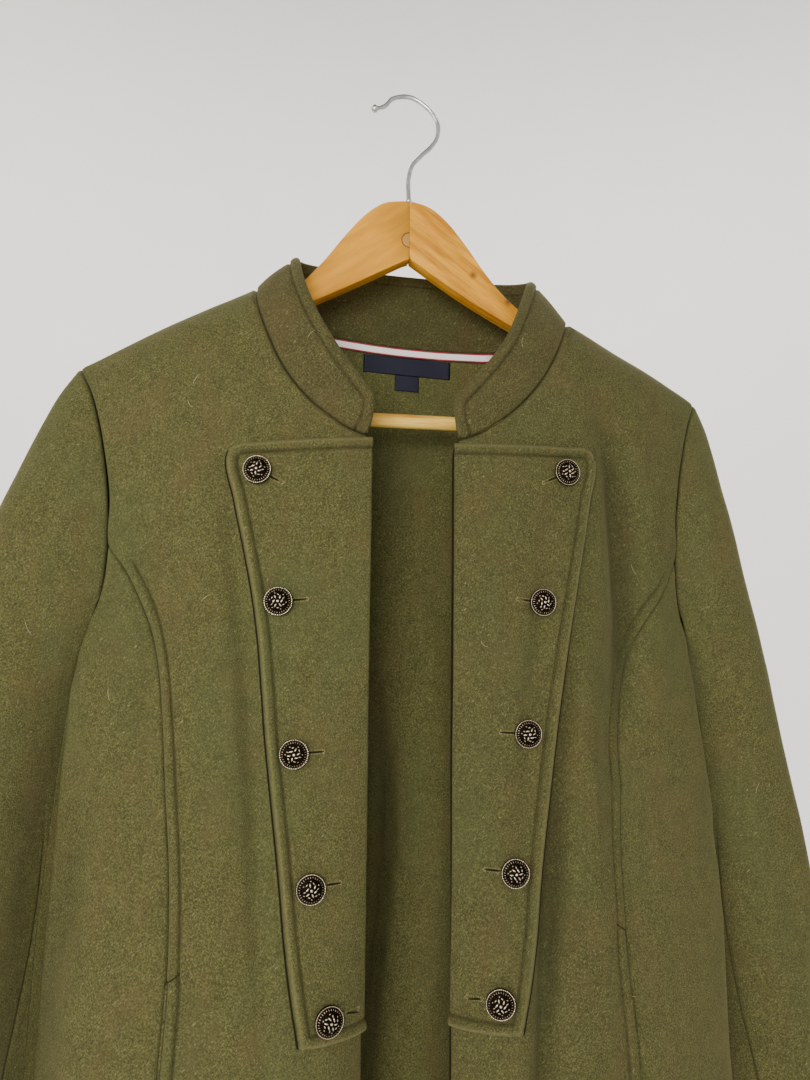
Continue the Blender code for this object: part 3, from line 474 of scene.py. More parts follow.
def add_piece(name: str, builder: bmesh.types.BMesh, finish: Finish,
              replaces: tuple[str, ...] = ()) -> bpy.types.Object:
    """Makes a piece of a finished mesh, dresses it and rides it on the coat.

    Args:
        name: the piece's name.
        builder: its mesh in place, which is freed.
        finish: what it wears.
        replaces: the frame's nodes that it hides.

    Returns:
        The piece.
    """
    mesh = bpy.data.meshes.new(name)
    builder.to_mesh(mesh)
    builder.free()
    mesh.materials.append(finish.material())
    mesh.shade_smooth()
    piece = bpy.data.objects.new(name, mesh)
    bpy.context.scene.collection.objects.link(piece)
    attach(piece, BODY)
    if replaces:
        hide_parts(*replaces)
    LOG.info("%s: %d faces", name, len(mesh.polygons))
    return piece


def solid_mesh(node: str) -> bmesh.types.BMesh:
    """A copy of a solid of the frame, its doubled points merged."""
    builder = bmesh.new()
    builder.from_mesh(frame["nodes"][node].data)
    bmesh.ops.remove_doubles(builder, verts=builder.verts, dist=1e-6)
    return builder


def revolved(profile: list[tuple[float, float]], steps: int) -> bmesh.types.BMesh:
    """A surface of revolution round the Z axis, its faces outward.

    Args:
        profile: its (radius, height) points.
        steps: its faces round.

    Returns:
        The mesh.
    """
    builder = bmesh.new()
    verts = [builder.verts.new((radius, 0.0, height)) for radius, height in profile]
    edges = [builder.edges.new(pair) for pair in zip(verts, verts[1:])]
    bmesh.ops.spin(builder, geom=verts + edges, axis=(0, 0, 1), cent=(0, 0, 0),
                   angle=2 * math.pi, steps=steps, use_merge=True)
    bmesh.ops.remove_doubles(builder, verts=builder.verts, dist=1e-6)
    bmesh.ops.recalc_face_normals(builder, faces=builder.faces)
    return builder


def unit(vectors: np.ndarray) -> np.ndarray:
    """Each row of an array of vectors at length one."""
    return vectors / np.maximum(np.linalg.norm(vectors, axis=-1, keepdims=True), 1e-12)


def eased(share: np.ndarray | float) -> np.ndarray:
    """A share from 0 to 1, eased at both ends and held outside them."""
    share = np.clip(share, 0.0, 1.0)
    return share * share * (3 - 2 * share)


def lengths_along(points: np.ndarray) -> np.ndarray:
    """The distance of each point of a polyline from its first."""
    return np.concatenate(([0.0], np.cumsum(np.linalg.norm(np.diff(points, axis=0), axis=1))))


def smooth_curve(points: np.ndarray, at: np.ndarray) -> np.ndarray:
    """Points at given lengths along the curve through a row of points, smooth but for corners.

    Args:
        points: the row, one point each.
        at: lengths from the first point.

    Returns:
        One point for each length.
    """
    knots = lengths_along(points)
    runs = np.diff(points, axis=0) / np.diff(knots)[:, None]
    behind = np.gradient(points, knots, axis=0)
    ahead = behind.copy()
    corner = eased((0.92 - (runs[:-1] * runs[1:]).sum(axis=1)) / 0.4)[:, None]
    behind[1:-1] += corner * (runs[:-1] - behind[1:-1])
    ahead[1:-1] += corner * (runs[1:] - ahead[1:-1])
    low = np.clip(np.searchsorted(knots, at, side="right") - 1, 0, len(knots) - 2)
    span = (knots[low + 1] - knots[low])[:, None]
    t = np.clip((at[:, None] - knots[low][:, None]) / span, 0.0, 1.0)
    return ((1 + 2 * t) * (1 - t) ** 2 * points[low] + t * t * (3 - 2 * t) * points[low + 1]
            + span * (t * (1 - t) ** 2 * ahead[low] - t * t * (1 - t) * behind[low + 1]))


def distance_to(points: np.ndarray, line: np.ndarray) -> np.ndarray:
    """Distances of an array of points from a polyline."""
    start, run = line[:-1], np.diff(line, axis=0)
    away = points[:, None] - start
    t = np.clip((away * run).sum(-1) / np.maximum((run ** 2).sum(-1), 1e-12), 0.0, 1.0)
    return np.linalg.norm(away - t[..., None] * run, axis=-1).min(axis=1)


# ---------------------------------------------------------------- creases

@dataclass(frozen=True)
class Crease:
    """A fold in the hanging cloth, seen from one face.

    Args:
        face: the face that shows it.
        line: its (x, height) points from one end to the other, in millimetres.
        width: its half width in millimetres.
        rise: how far it stands out of the cloth, in millimetres; a trough is negative.
        skew: how much wider it is on its right than on its left, as a share.
        pieces: how the names of the pieces start that it creases.
    """

    face: Face
    line: tuple[tuple[float, float], ...]
    width: float
    rise: float
    skew: float = 0.0
    pieces: tuple[str, ...] = ("",)

    def lift(self, points: np.ndarray, normals: np.ndarray) -> np.ndarray:
        """How far the crease lifts the cloth at each point.

        Args:
            points: places in the cloth.
            normals: the cloth's directions there.

        Returns:
            A distance along the normal for each point.
        """
        knots = np.array(self.line) * MM
        length = lengths_along(knots)[-1]
        line = smooth_curve(knots, np.linspace(0.0, length, 24))
        flat = points[:, [0, 2]]
        reach = self.width * 3 * MM
        near = np.flatnonzero(((flat > line.min(axis=0) - reach)
                               & (flat < line.max(axis=0) + reach)).all(axis=1))
        lifts = np.zeros(len(points))
        if not len(near):
            return lifts
        start, run = line[:-1], np.diff(line, axis=0)
        away = flat[near, None] - start
        t = np.clip((away * run).sum(-1) / (run ** 2).sum(-1), 0.0, 1.0)
        off = away - t[..., None] * run
        distance = np.linalg.norm(off, axis=-1)
        nearest = distance.argmin(axis=1)
        rows = np.arange(len(near))
        share = (nearest + t[rows, nearest]) / len(run)
        right = np.sign(off[rows, nearest, 0])
        width = self.width * MM * (1 + self.skew * right)
        turned = np.clip(normals[near, 1] * self.face.value * 1.6, 0.0, 1.0)
        lifts[near] = (self.rise * MM * np.sin(np.pi * np.clip(share, 0, 1)) ** 0.8
                       * np.exp(-(distance[rows, nearest] / width) ** 2) * turned)
        return lifts


FRONTS = ("front_cloth",)
SLEEVES = ("top_sleeve", "under_sleeve")
TRUNK = ("side_front", "back")
CREASES = (
    # a soft diagonal drag from the left shoulder towards the neck, and its twin
    Crease(Face.FRONT, ((-118, -208), (-100, -232), (-84, -256)), 5.5, -1.1, 0.4),
    Crease(Face.FRONT, ((-128, -215), (-108, -243)), 8.0, 0.7),
    # the deep fold beside the right plastron, the swell after it and the sunken strip below
    Crease(Face.FRONT, ((130, -224), (138, -270), (144, -320), (148, -385), (144, -431),
           (134, -490)), 11.5, -12.2, 0.2),
    Crease(Face.FRONT, ((170, -240), (173, -320), (170, -430)), 11.0, 2.4),
    Crease(Face.FRONT, ((111, -385), (114, -463), (119, -512), (124, -561), (127, -660)), 9.0, 3.0),
    Crease(Face.FRONT, ((107, -395), (98, -445), (92, -500), (86, -571), (81, -622), (77, -760)),
           9.5, -10.4, 0.3, FRONTS),
    Crease(Face.FRONT, ((96, -280), (88, -348), (83, -399), (79, -437), (74, -486), (69, -580)),
           8.5, -3.6, 0.0, (*FRONTS, "plastron")),
    # the front sinks beside and under each plastron's outer edge
    Crease(Face.FRONT, ((-129, -248), (-117, -320), (-106, -395), (-99, -465), (-91, -560),
           (-82, -680)), 6.0, -4.6, 0.0, FRONTS),
    Crease(Face.FRONT, ((124, -244), (121, -300), (112, -370), (103, -430), (97, -480)),
           5.5, -3.6, 0.3, FRONTS),
    # the deep fold of the back, seen through the open fronts: a crack and the roll beside it
    Crease(Face.BACK, ((-18, -385), (-11, -435), (-3, -475), (0, -546), (-4, -595), (-8, -642),
           (-18, -800)), 5.8, 11.0, -0.3),
    Crease(Face.BACK, ((14, -350), (29, -430), (33, -540), (29, -640), (16, -800)), 18.0, -10.0),
    # where the sleeves and the body sink against each other, and the sleeves' twins
    Crease(Face.FRONT, ((-247, -370), (-252, -475), (-257, -545), (-263, -640), (-270, -780)),
           20.0, 6.0, 0.0, SLEEVES),
    Crease(Face.FRONT, ((-217, -395), (-222, -439), (-225, -490), (-230, -546), (-235, -620),
           (-242, -760)), 11.0, -6.0, 0.0, SLEEVES),
    Crease(Face.FRONT, ((-205, -440), (-210, -511), (-214, -557), (-220, -610), (-224, -660),
           (-228, -800)), 20.0, -8.0, 0.0, ("side_front",)),
    Crease(Face.FRONT, ((212, -440), (219, -520), (226, -590), (232, -660), (238, -780)),
           14.0, -6.4, 0.0, SLEEVES),
    Crease(Face.FRONT, ((262, -480), (272, -560), (284, -680)), 12.0, -3.2),
    Crease(Face.BACK, ((-262, -420), (-276, -520), (-290, -640)), 13.0, -3.6),
    Crease(Face.BACK, ((252, -410), (264, -520), (278, -640)), 13.0, -3.4),
    # faint hollows of the left front
    Crease(Face.FRONT, ((-146, -304), (-158, -378), (-166, -466), (-172, -550)), 13.0, -3.6, 0.3),
    Crease(Face.FRONT, ((-126, -300), (-132, -390), (-136, -480)), 14.0, 2.0),
    Crease(Face.FRONT, ((-118, -560), (-112, -680), (-115, -820)), 18.0, -1.8),
    Crease(Face.FRONT, ((190, -480), (186, -600), (192, -760)), 16.0, -2.0, 0.2),
    Crease(Face.FRONT, ((-184, -470), (-182, -580), (-188, -760)), 16.0, -1.8, -0.2),
    # drags that run from the underarms
    Crease(Face.FRONT, ((197, -395), (176, -420), (160, -452)), 9.0, 1.2),
    Crease(Face.FRONT, ((-200, -398), (-181, -428), (-166, -462)), 9.0, 1.1),
    # the sleeves' bends at the elbow
    Crease(Face.FRONT, ((-214, -430), (-236, -452), (-262, -462)), 10.0, -1.8, 0.2),
    Crease(Face.FRONT, ((-222, -500), (-250, -524), (-285, -530)), 12.0, -2.0),
    Crease(Face.FRONT, ((-230, -560), (-262, -566), (-300, -548)), 11.0, 1.8),
    Crease(Face.FRONT, ((-240, -640), (-275, -652), (-315, -640)), 13.0, -1.8),
    Crease(Face.FRONT, ((222, -440), (238, -462), (256, -470)), 10.0, -1.6, -0.2),
    Crease(Face.FRONT, ((214, -520), (236, -545), (262, -548)), 12.0, -2.0),
    Crease(Face.FRONT, ((220, -580), (248, -590), (276, -576)), 11.0, 1.6),
    Crease(Face.FRONT, ((232, -660), (262, -675), (292, -664)), 13.0, -1.6),
    # like folds on the back
    Crease(Face.BACK, ((-150, -240), (-135, -330), (-138, -450)), 16.0, 2.0, 0.3),
    Crease(Face.BACK, ((142, -230), (130, -320), (128, -430)), 17.0, 1.8, -0.2),
    Crease(Face.BACK, ((-60, -420), (-64, -560), (-72, -760)), 18.0, -3.0, 0.2),
    Crease(Face.BACK, ((66, -400), (70, -560), (82, -780)), 20.0, -2.6),
    Crease(Face.BACK, ((-172, -520), (-178, -640), (-186, -840)), 18.0, -2.6),
    Crease(Face.BACK, ((170, -500), (176, -640), (184, -840)), 19.0, -2.8),
    Crease(Face.BACK, ((186, -380), (160, -410), (132, -452)), 10.0, 1.4),
    Crease(Face.BACK, ((-186, -384), (-164, -408), (-136, -446)), 10.0, 1.4),
    Crease(Face.BACK, ((-224, -500), (-254, -514), (-286, -506)), 11.0, 1.8),
    Crease(Face.BACK, ((-232, -585), (-264, -600), (-300, -592)), 12.0, -2.0),
    Crease(Face.BACK, ((216, -510), (240, -528), (266, -520)), 11.0, 1.7),
    Crease(Face.BACK, ((220, -600), (248, -616), (280, -608)), 12.0, -2.0),
)
UNDULATION = ((0.070, 0.0010), (0.024, 0.00030))


@dataclass(frozen=True)
class Push:
    """A place where cloth leans over, as where a sleeve lies against the body.

    Args:
        pieces: how the moved pieces' names start.
        middle: the middle of the place.
        reach: how far it reaches along each axis.
        move: how far its middle is moved.
    """

    pieces: tuple[str, ...]
    middle: tuple[float, float, float]
    reach: tuple[float, float, float]
    move: tuple[float, float, float]

    def move_at(self, name: str, points: np.ndarray) -> np.ndarray:
        """How far the push moves each point of a piece.

        Args:
            name: the piece's name.
            points: the piece's points.

        Returns:
            A vector for each point.
        """
        if not name.startswith(self.pieces):
            return np.zeros_like(points)
        away = (points - np.array(self.middle)) / np.array(self.reach)
        return np.exp(-(away ** 2).sum(axis=-1))[..., None] * np.array(self.move)


PUSHES = (
    Push(SLEEVES, (-0.218, 0.000, -0.430), (0.018, 0.030, 0.060), (0.0085, -0.002, 0.0)),
    Push(TRUNK, (-0.212, -0.012, -0.440), (0.020, 0.025, 0.060), (-0.0022, 0.0, 0.0)),
    Push(SLEEVES, (0.216, -0.006, -0.410), (0.016, 0.022, 0.040), (-0.0045, -0.002, 0.0)),
)


def cloth_lift(name: str, points: np.ndarray, normals: np.ndarray) -> np.ndarray:
    """How far creases and slow waves lift the hanging cloth.

    Args:
        name: the piece of cloth.
        points: places in the cloth.
        normals: its outward directions there.

    Returns:
        A distance along the normal for each point.
    """
    lifts = sum(crease.lift(points, normals) for crease in CREASES
                if name.startswith(crease.pieces))
    for size, height in UNDULATION:
        lifts = lifts + height * np.array([noise.noise(Vector(point) / size) for point in points])
    return lifts


# ---------------------------------------------------------------- cloth shells

NEAR_STATIONS = np.array((0.0, 0.15, 0.4, 0.75, 1.2, 1.7, 2.4)) * MM


@dataclass(frozen=True)
class RimForm:
    """How one side of a piece of cloth ends.

    Args:
        roll: how far in the rounding of the edge reaches.
        sewn: whether the edge is sewn to a neighbour, and so reaches a little into it.
        stitched: the topstitch line's distance from the edge, or 0 for none.
        below: the height under which the line runs.
        puff: how far the cloth between the line and the edge stands out.
        droop: how far the edge turns down to what lies under it.
        sunk_below: the height under which a seam shows as a groove; above, it is ironed flat.
        opened: the heights, low and high, between which the seam is left open as a pocket.
    """

    roll: float = 1.7 * MM
    sewn: bool = True
    stitched: float = 0.0
    below: float = 1.0
    puff: float = 0.0
    droop: float = 0.0
    sunk_below: float = 1.0
    opened: tuple[float, float] | None = None

    def stations(self) -> np.ndarray:
        """The distances from the edge at which the cloth's grid has lines."""
        if not self.stitched:
            return np.append(NEAR_STATIONS, 4.0 * MM)
        beyond = self.stitched + np.array((-1.6, -1.0, -0.5, 0.0, 0.5, 1.0, 1.6, 2.6)) * MM
        between = np.arange(3.4 * MM, self.stitched - 2.2 * MM, 1.2 * MM)
        return np.concatenate((NEAR_STATIONS, between, beyond))


SEAM = RimForm()
# Where the left shoulder and neck seams meet, and how far round it the cloth is calmed.
NECK_POINT = Vector((-0.1098, -0.026, -0.1680))
NECK_REACH = 8 * MM


def inward_from(rim: Rim, grid: np.ndarray) -> np.ndarray:
    """A view of a grid by lines along one of its sides, the outermost first."""
    lines = grid.swapaxes(0, 1) if rim in (Rim.LEFT, Rim.RIGHT) else grid
    return lines[::-1] if rim in (Rim.FOOT, Rim.RIGHT) else lines


def rim_line(grid: np.ndarray, rim: Rim) -> np.ndarray:
    """The row of a grid's points that lies on one of its sides."""
    return inward_from(rim, grid)[0]


def outer_grid(node: str, middle: Vector, thickness: float = CLOTH) -> np.ndarray:
    """The grid of points on the outer side of a cloth solid of the frame.

    Args:
        node: the solid's name.
        middle: a point that the solid's outer side looks away from.
        thickness: the solid's thickness.

    Returns:
        Points by row and column: rows run down, and columns to the right as seen from outside.
    """
    builder = solid_mesh(node)
    outer = max(cloth_sides(builder, thickness), key=lambda faces: sum(
        face.calc_area() * face.normal.dot((face.calc_center_median() - middle).normalized())
        for face in faces))
    bmesh.ops.delete(builder, geom=[face for face in builder.faces if face not in outer],
                     context="FACES")
    turned = [edge for edge in builder.edges if all(len(vert.link_faces) == 7 for vert in edge.verts)]
    bmesh.ops.rotate_edges(builder, edges=turned, use_ccw=False)
    bmesh.ops.dissolve_edges(builder, edges=grid_diagonals(builder), use_verts=False)
    grid = walked(builder)
    builder.free()
    grid = inward_from(max(Rim, key=lambda rim: rim_line(grid, rim)[:, 2].mean()), grid)
    across = np.cross(np.gradient(grid, axis=0), np.gradient(grid, axis=1))
    if (across * (grid - np.array(middle))).sum() < 0:
        grid = grid[:, ::-1]
    return grid


def cloth_sides(builder: bmesh.types.BMesh, thickness: float) -> list[set]:
    """The faces of the two sides of a cloth solid, without the strip round its edge.

    Args:
        builder: the solid's mesh, with its points merged.
        thickness: the solid's thickness.

    Returns:
        The two groups of faces.
    """
    for start in builder.edges:
        if abs(start.calc_length() - thickness) > 3e-6:
            continue
        strip = strip_from(start, 2 * thickness)
        around, quads = len(strip) // 4, (len(builder.faces) - len(strip)) / 4
        if not strip or around * around < 4 * quads:
            continue
        groups = groups_without(builder, set(strip))
        if (math.sqrt(around * around - 4 * quads) % 1.0 < 1e-9 and len(groups) == 2
                and len(groups[0]) == len(groups[1])):
            return groups
    raise ValueError("the solid has no strip of edge faces")


def strip_from(start: bmesh.types.BMEdge, longest: float) -> list:
    """The closed strip of faces that a rung starts, or no faces where it doesn't close.

    Args:
        start: an edge between the solid's two sides.
        longest: the greatest length that a rung may have.

    Returns:
        The faces, two for each rung.
    """
    near, far = start.verts
    face, strip = start.link_faces[0], []
    while len(strip) < 1000:
        tip = next(vert for vert in face.verts if vert not in (near, far))
        choices = []
        for kept in (near, far):
            cross = next(edge for edge in face.edges if kept in edge.verts and tip in edge.verts)
            beyond = next(other for other in cross.link_faces if other != face)
            last = next(vert for vert in beyond.verts if vert not in cross.verts)
            ends = (last, tip) if kept == near else (tip, last)
            run, before = ends[1].co - ends[0].co, far.co - near.co
            choices.append(((run - before).length + 4 * abs(run.length - before.length),
                            kept == near, ends, beyond))
        _, _, ends, beyond = min(choices, key=lambda choice: choice[:2])
        strip += [face, beyond]
        near, far = ends
        rung = next(edge for edge in beyond.edges if near in edge.verts and far in edge.verts)
        if rung == start:
            return strip
        if rung.calc_length() > longest:
            return []
        face = next(other for other in rung.link_faces if other != beyond)
    return []


def groups_without(builder: bmesh.types.BMesh, left_out: set) -> list[set]:
    """The mesh's faces in groups that hang together without some of its faces."""
    left, groups = set(builder.faces) - left_out, []
    while left:
        first = left.pop()
        group, waiting = {first}, [first]
        while waiting:
            for edge in waiting.pop().edges:
                for beyond in edge.link_faces:
                    if beyond in left:
                        left.remove(beyond)
                        group.add(beyond)
                        waiting.append(beyond)
        groups.append(group)
    return groups


def grid_diagonals(builder: bmesh.types.BMesh) -> list:
    """The edges that cut the quads of a triangulated grid in two."""
    corner = next(vert for vert in builder.verts if len(vert.link_faces) == 1)
    first = corner.link_faces[0]
    cut = {first: next(edge for edge in first.edges if corner not in edge.verts)}
    waiting = [first]
    while waiting:
        face = waiting.pop()
        for edge in face.edges:
            for beyond in edge.link_faces:
                if beyond in cut:
                    continue
                if edge == cut[face]:
                    cut[beyond] = edge
                else:
                    far = next(vert for vert in edge.verts if vert not in cut[face].verts)
                    cut[beyond] = next(other for other in beyond.edges
                                       if other != edge and far in other.verts)
                waiting.append(beyond)
    return list(set(cut.values()))


def walked(builder: bmesh.types.BMesh) -> np.ndarray:
    """The points of a mesh that is one grid of quads, by row and column."""
    corner = next(vert for vert in builder.verts if len(vert.link_faces) == 1)
    row, seen = [corner], {corner}
    while len(row) == 1 or len(row[-1].link_faces) > 1:
        row.append(next(edge.other_vert(row[-1]) for edge in row[-1].link_edges
                        if edge.is_boundary and edge.other_vert(row[-1]) not in seen))
        seen.add(row[-1])
    rows = [row]
    while True:
        row = [next((edge.other_vert(vert) for edge in vert.link_edges
                     if edge.other_vert(vert) not in seen), None) for vert in rows[-1]]
        if None in row:
            break
        rows.append(row)
        seen.update(row)
    return np.array([[vert.co for vert in row] for row in rows])


def finer(grid: np.ndarray, start: RimForm, end: RimForm, step: float) -> np.ndarray:
    """A grid with each of its columns drawn as a smooth curve with more points.

    The new points lie at given distances from both ends, and between them they keep to the old
    ones, so that corners stay where they are.

    Args:
        grid: points by row and column, with their directions carried along.
        start: how the cloth ends at the first row.
        end: how it ends at the last.
        step: the usual spacing of the new points.

    Returns:
        The grid with more rows.
    """
    near_start, near_end = start.stations(), end.stations()
    columns = grid.transpose(1, 0, 2)
    knots = np.array([lengths_along(column) for column in columns])
    lengths = knots[:, -1:]
    squeeze = np.minimum(1.0, 0.85 * lengths / (near_start[-1] + near_end[-1]))
    first, last = near_start[-1] * squeeze, lengths - near_end[-1] * squeeze
    clear = (knots > first + 0.4 * step) & (knots < last - 0.4 * step)
    marks = np.hstack((first, knots[:, clear.all(axis=0)], last))
    parts = np.maximum(np.rint(np.diff(marks, axis=1).mean(axis=0) / step).astype(int), 1)
    between = [marks[:, [index]] + np.diff(marks[:, index:index + 2], axis=1)
               * np.arange(1, part + 1) / part for index, part in enumerate(parts)]
    stations = np.hstack((near_start * squeeze, np.hstack(between)[:, :-1],
                          lengths - near_end[::-1] * squeeze))
    return np.stack([smooth_curve(column, at) for column, at in zip(columns, stations)], axis=1)


@dataclass
class ClothShell:
    """A piece of cloth as a thin closed shell on the outer side of its solid.

    Args:
        name: the piece's name.
        node: the frame's solid that it stands for.
        rims: how its sides end.
        middle: a point that its outer side looks away from.
        step: the usual spacing of its points.
        allowance: what the cut has over the finished piece for seams and hems, in all,
            across and along.
        turning: how wide the cloth turned in at the sides is, on average; not used.
        finish: what the cloth looks like.
        held: how the cloth is held; not used.
        rests_on: what it hangs from; not used.
    """

    name: str
    node: str
    rims: dict[Rim, RimForm]
    middle: Vector = field(default_factory=lambda: COAT_MIDDLE)
    step: float = 3.2 * MM
    allowance: tuple[float, float] = (0.020, 0.045)
    turning: float = 0.010
    finish: Finish = WOOL
    held: str = "hung"
    rests_on: tuple[str, ...] = ("hanger_arm_left", "hanger_arm_right")
    outer: np.ndarray | None = None
    normals: np.ndarray | None = None
    distances: dict[Rim, np.ndarray] = field(default_factory=dict)
    nearest_line: np.ndarray | None = None

    def build(self) -> bpy.types.Object:
        """Builds the shell.

        Returns:
            The piece.
        """
        coarse = outer_grid(self.node, self.middle)
        form = self.rims
        carried = np.concatenate((coarse, 1e-6 * self.grid_normals(coarse)), axis=2)
        grid = finer(carried, form[Rim.TOP], form[Rim.FOOT], self.step)
        grid = finer(grid.transpose(1, 0, 2), form[Rim.LEFT], form[Rim.RIGHT],
                     self.step).transpose(1, 0, 2)
        self.normals = unit(grid[..., 3:])
        grid = self.reached_out(grid[..., :3])
        self.measure_distances(grid)
        flat_points = grid.reshape(-1, 3)
        lift = cloth_lift(self.name, flat_points, self.normals.reshape(-1, 3)).reshape(grid.shape[:2])
        relief, half = self.profile(grid)
        centre = grid + self.normals * (lift - CLOTH / 2)[..., None]
        for push in PUSHES:
            centre = centre + push.move_at(self.name, centre)
        self.outer = centre + self.normals * (half + relief)[..., None]
        depth = np.where(half < 1e-7, -relief, half - np.minimum(relief, 0.0) * 0.3)
        inner = centre - self.normals * depth[..., None]
        builder = self.shell(self.outer, inner, self.nap(grid, lift))
        self.calm(builder)
        piece = add_piece(self.name, builder, self.finish, (self.node,))
        self.declare(coarse)
        return piece

    @staticmethod
    def calm(builder: bmesh.types.BMesh) -> None:
        """Smooths the cloth where the left shoulder and neck seams meet and crumple it."""
        near = [vert for vert in builder.verts if (vert.co - NECK_POINT).length < NECK_REACH]
        for _ in range(10 if near else 0):
            bmesh.ops.smooth_vert(builder, verts=near, factor=0.5, use_axis_x=True,
                                  use_axis_y=True, use_axis_z=True)

    @staticmethod
    def grid_normals(grid: np.ndarray) -> np.ndarray:
        """Outward unit directions at a grid's points."""
        return unit(np.cross(np.gradient(grid, axis=0), np.gradient(grid, axis=1)))

    def reached_out(self, grid: np.ndarray) -> np.ndarray:
        """The grid with its sewn sides drawn out a little, into their neighbours."""
        grid = grid.copy()
        outward = {}
        for rim in Rim:
            lines = inward_from(rim, grid)
            square = np.cross(np.gradient(lines[0], axis=0), rim_line(self.normals, rim))
            outward[rim] = square * -np.sign((square * (lines[3] - lines[0])).sum())
        for rim, form in self.rims.items():
            if not form.sewn:
                continue
            reach = np.full(len(outward[rim]), SEAL)
            if form.opened:
                height = rim_line(grid, rim)[:, 2]
                inside = np.minimum(height - form.opened[0], form.opened[1] - height)
                reach -= 0.85 * MM * eased(inside / (5 * MM))
            move = unit(outward[rim]) * reach[:, None]
            for line, share in zip(inward_from(rim, grid), SEAL_FADE):
                line += move * share
        return grid

    def measure_distances(self, grid: np.ndarray) -> None:
        """Keeps each point's distance from each side, up to 30 mm."""
        far = 30 * MM
        for rim in Rim:
            lines = inward_from(rim, grid)
            self.distances[rim] = np.full(grid.shape[:2], far)
            near = np.linalg.norm(lines - lines[:1], axis=-1) < far * 1.5
            inward_from(rim, self.distances[rim])[near] = np.minimum(
                distance_to(lines[near], lines[0]), far)

    def stitched_share(self, rim: Rim, grid: np.ndarray) -> np.ndarray:
        """How fully a side's topstitching is worked at each point, from 0 to 1."""
        return eased((self.rims[rim].below - grid[..., 2]) / (8 * MM))

    def profile(self, grid: np.ndarray) -> tuple[np.ndarray, np.ndarray]:
        """The relief of stitch lines and edges, and half the cloth's thickness.

        Args:
            grid: the shell's points.

        Returns:
            Two arrays, one value for each point.
        """
        relief = np.zeros(grid.shape[:2])
        share = np.ones(grid.shape[:2])
        nearest_line = np.full(grid.shape[:2], np.inf)
        for rim, form in self.rims.items():
            distance = self.distances[rim]
            roll = form.roll * (0.2 + 0.8 * self.sunk(rim, grid))
            share = np.minimum(share, distance / roll)
            relief -= form.droop * (1 - np.clip(distance / form.roll, 0.0, 1.0)) ** 2
            if form.stitched:
                worked = self.stitched_share(rim, grid)
                off = np.where(worked > 0.02, distance - form.stitched, 1.0)
                inside = self.inside_lines(rim, grid)
                nearest_line = np.minimum(nearest_line, np.where(inside, np.abs(off), 1.0))
                across = np.clip(distance / form.stitched, 0.0, 1.0)
                relief += form.puff * worked * np.sin(np.pi * across) ** 0.8 * inside
            if form.sewn:
                relief -= 1.3 * MM * np.exp(-(distance / (1.5 * MM)) ** 2) * self.sunk(rim, grid)
        relief -= 1.15 * MM * np.exp(-(nearest_line / (0.95 * MM)) ** 2)
        self.nearest_line = nearest_line
        half = CLOTH / 2 * np.sqrt(1 - (1 - np.clip(share, 0.0, 1.0)) ** 2)
        return relief, half

    def sunk(self, rim: Rim, grid: np.ndarray) -> np.ndarray:
        """How deep a side's seam lies in the cloth at each point, from 0 to 1."""
        return 0.12 + 0.88 * eased((self.rims[rim].sunk_below - grid[..., 2]) / (60 * MM))

    def nap(self, grid: np.ndarray, lift: np.ndarray) -> dict[str, np.ndarray]:
        """How much shade and highlight are painted on each point, from 0 to 1.

        Args:
            grid: the shell's points.
            lift: how far folds lift them; deep in a fold the cloth gets painted shade.

        Returns:
            The shell's vertex values by name.
        """
        pressed, raised = np.zeros(grid.shape[:2]), np.zeros(grid.shape[:2])
        flat = grid.reshape(-1, 3)
        pits = np.array([noise.noise(Vector(point) / (5 * MM)) for point in flat])
        pits = np.clip(0.8 + 0.5 * pits, 0.3, 1.0).reshape(grid.shape[:2])
        for rim, form in self.rims.items():
            distance = self.distances[rim]
            # painted shade: a dark line along each sewn seam's groove
            if form.sewn:
                edge = np.exp(-(distance / (0.70 * MM)) ** 2) * self.sunk(rim, grid) ** 1.5
                pressed = np.maximum(pressed, 0.78 * edge * pits)
            # painted shade at the foot of a drooping edge, and a painted highlight on its roll
            if form.droop:
                pressed = np.maximum(pressed, 0.8 * np.exp(-(distance / (0.5 * MM)) ** 2) * pits)
                raised = np.maximum(raised, 0.3 * np.exp(-((distance - 2.2 * MM) / MM) ** 2))
        # painted shade in the stitch lines' grooves and deep in folds
        line = np.exp(-(self.nearest_line / (0.7 * MM)) ** 2)
        depth = lift if self.name.startswith("back") else -lift
        fold_shade = 0.34 * eased((depth - 2.5 * MM) / (7 * MM))
        return {"pressed": np.maximum(np.maximum(pressed, fold_shade), 0.55 * line * pits),
                "raised": raised}

    def inside_lines(self, rim: Rim, grid: np.ndarray) -> np.ndarray:
        """Whether each point lies where a side's line runs, and not past another's."""
        inside = np.ones(grid.shape[:2], bool)
        for other, form in self.rims.items():
            if other is not rim and form.stitched and self.stitched_share(other, grid).max() > 0:
                inside &= self.distances[other] > form.stitched - 0.6 * MM
        return inside

    def line_from(self, rim: Rim, distance: float) -> tuple[np.ndarray, np.ndarray]:
        """A line on the cloth's face at an even distance from one of its sides.

        Args:
            rim: the side.
            distance: how far the line runs from it.

        Returns:
            The line's points and the cloth's directions there, in order along the side.
        """
        worked = (self.stitched_share(rim, self.outer) > 0.5) & self.inside_lines(rim, self.outer)
        away, places, normals, worked = (
            inward_from(rim, values).swapaxes(0, 1)
            for values in (self.distances[rim], self.outer, self.normals, worked))
        line, directions = [], []
        for row, steps in enumerate(away):
            column = int(np.argmax(steps >= distance))
            if column == 0 or not worked[row, column]:
                continue
            share = (distance - steps[column - 1]) / (steps[column] - steps[column - 1])
            line.append(places[row, column - 1] * (1 - share) + places[row, column] * share)
            directions.append(normals[row, column])
        return np.array(line), np.array(directions)

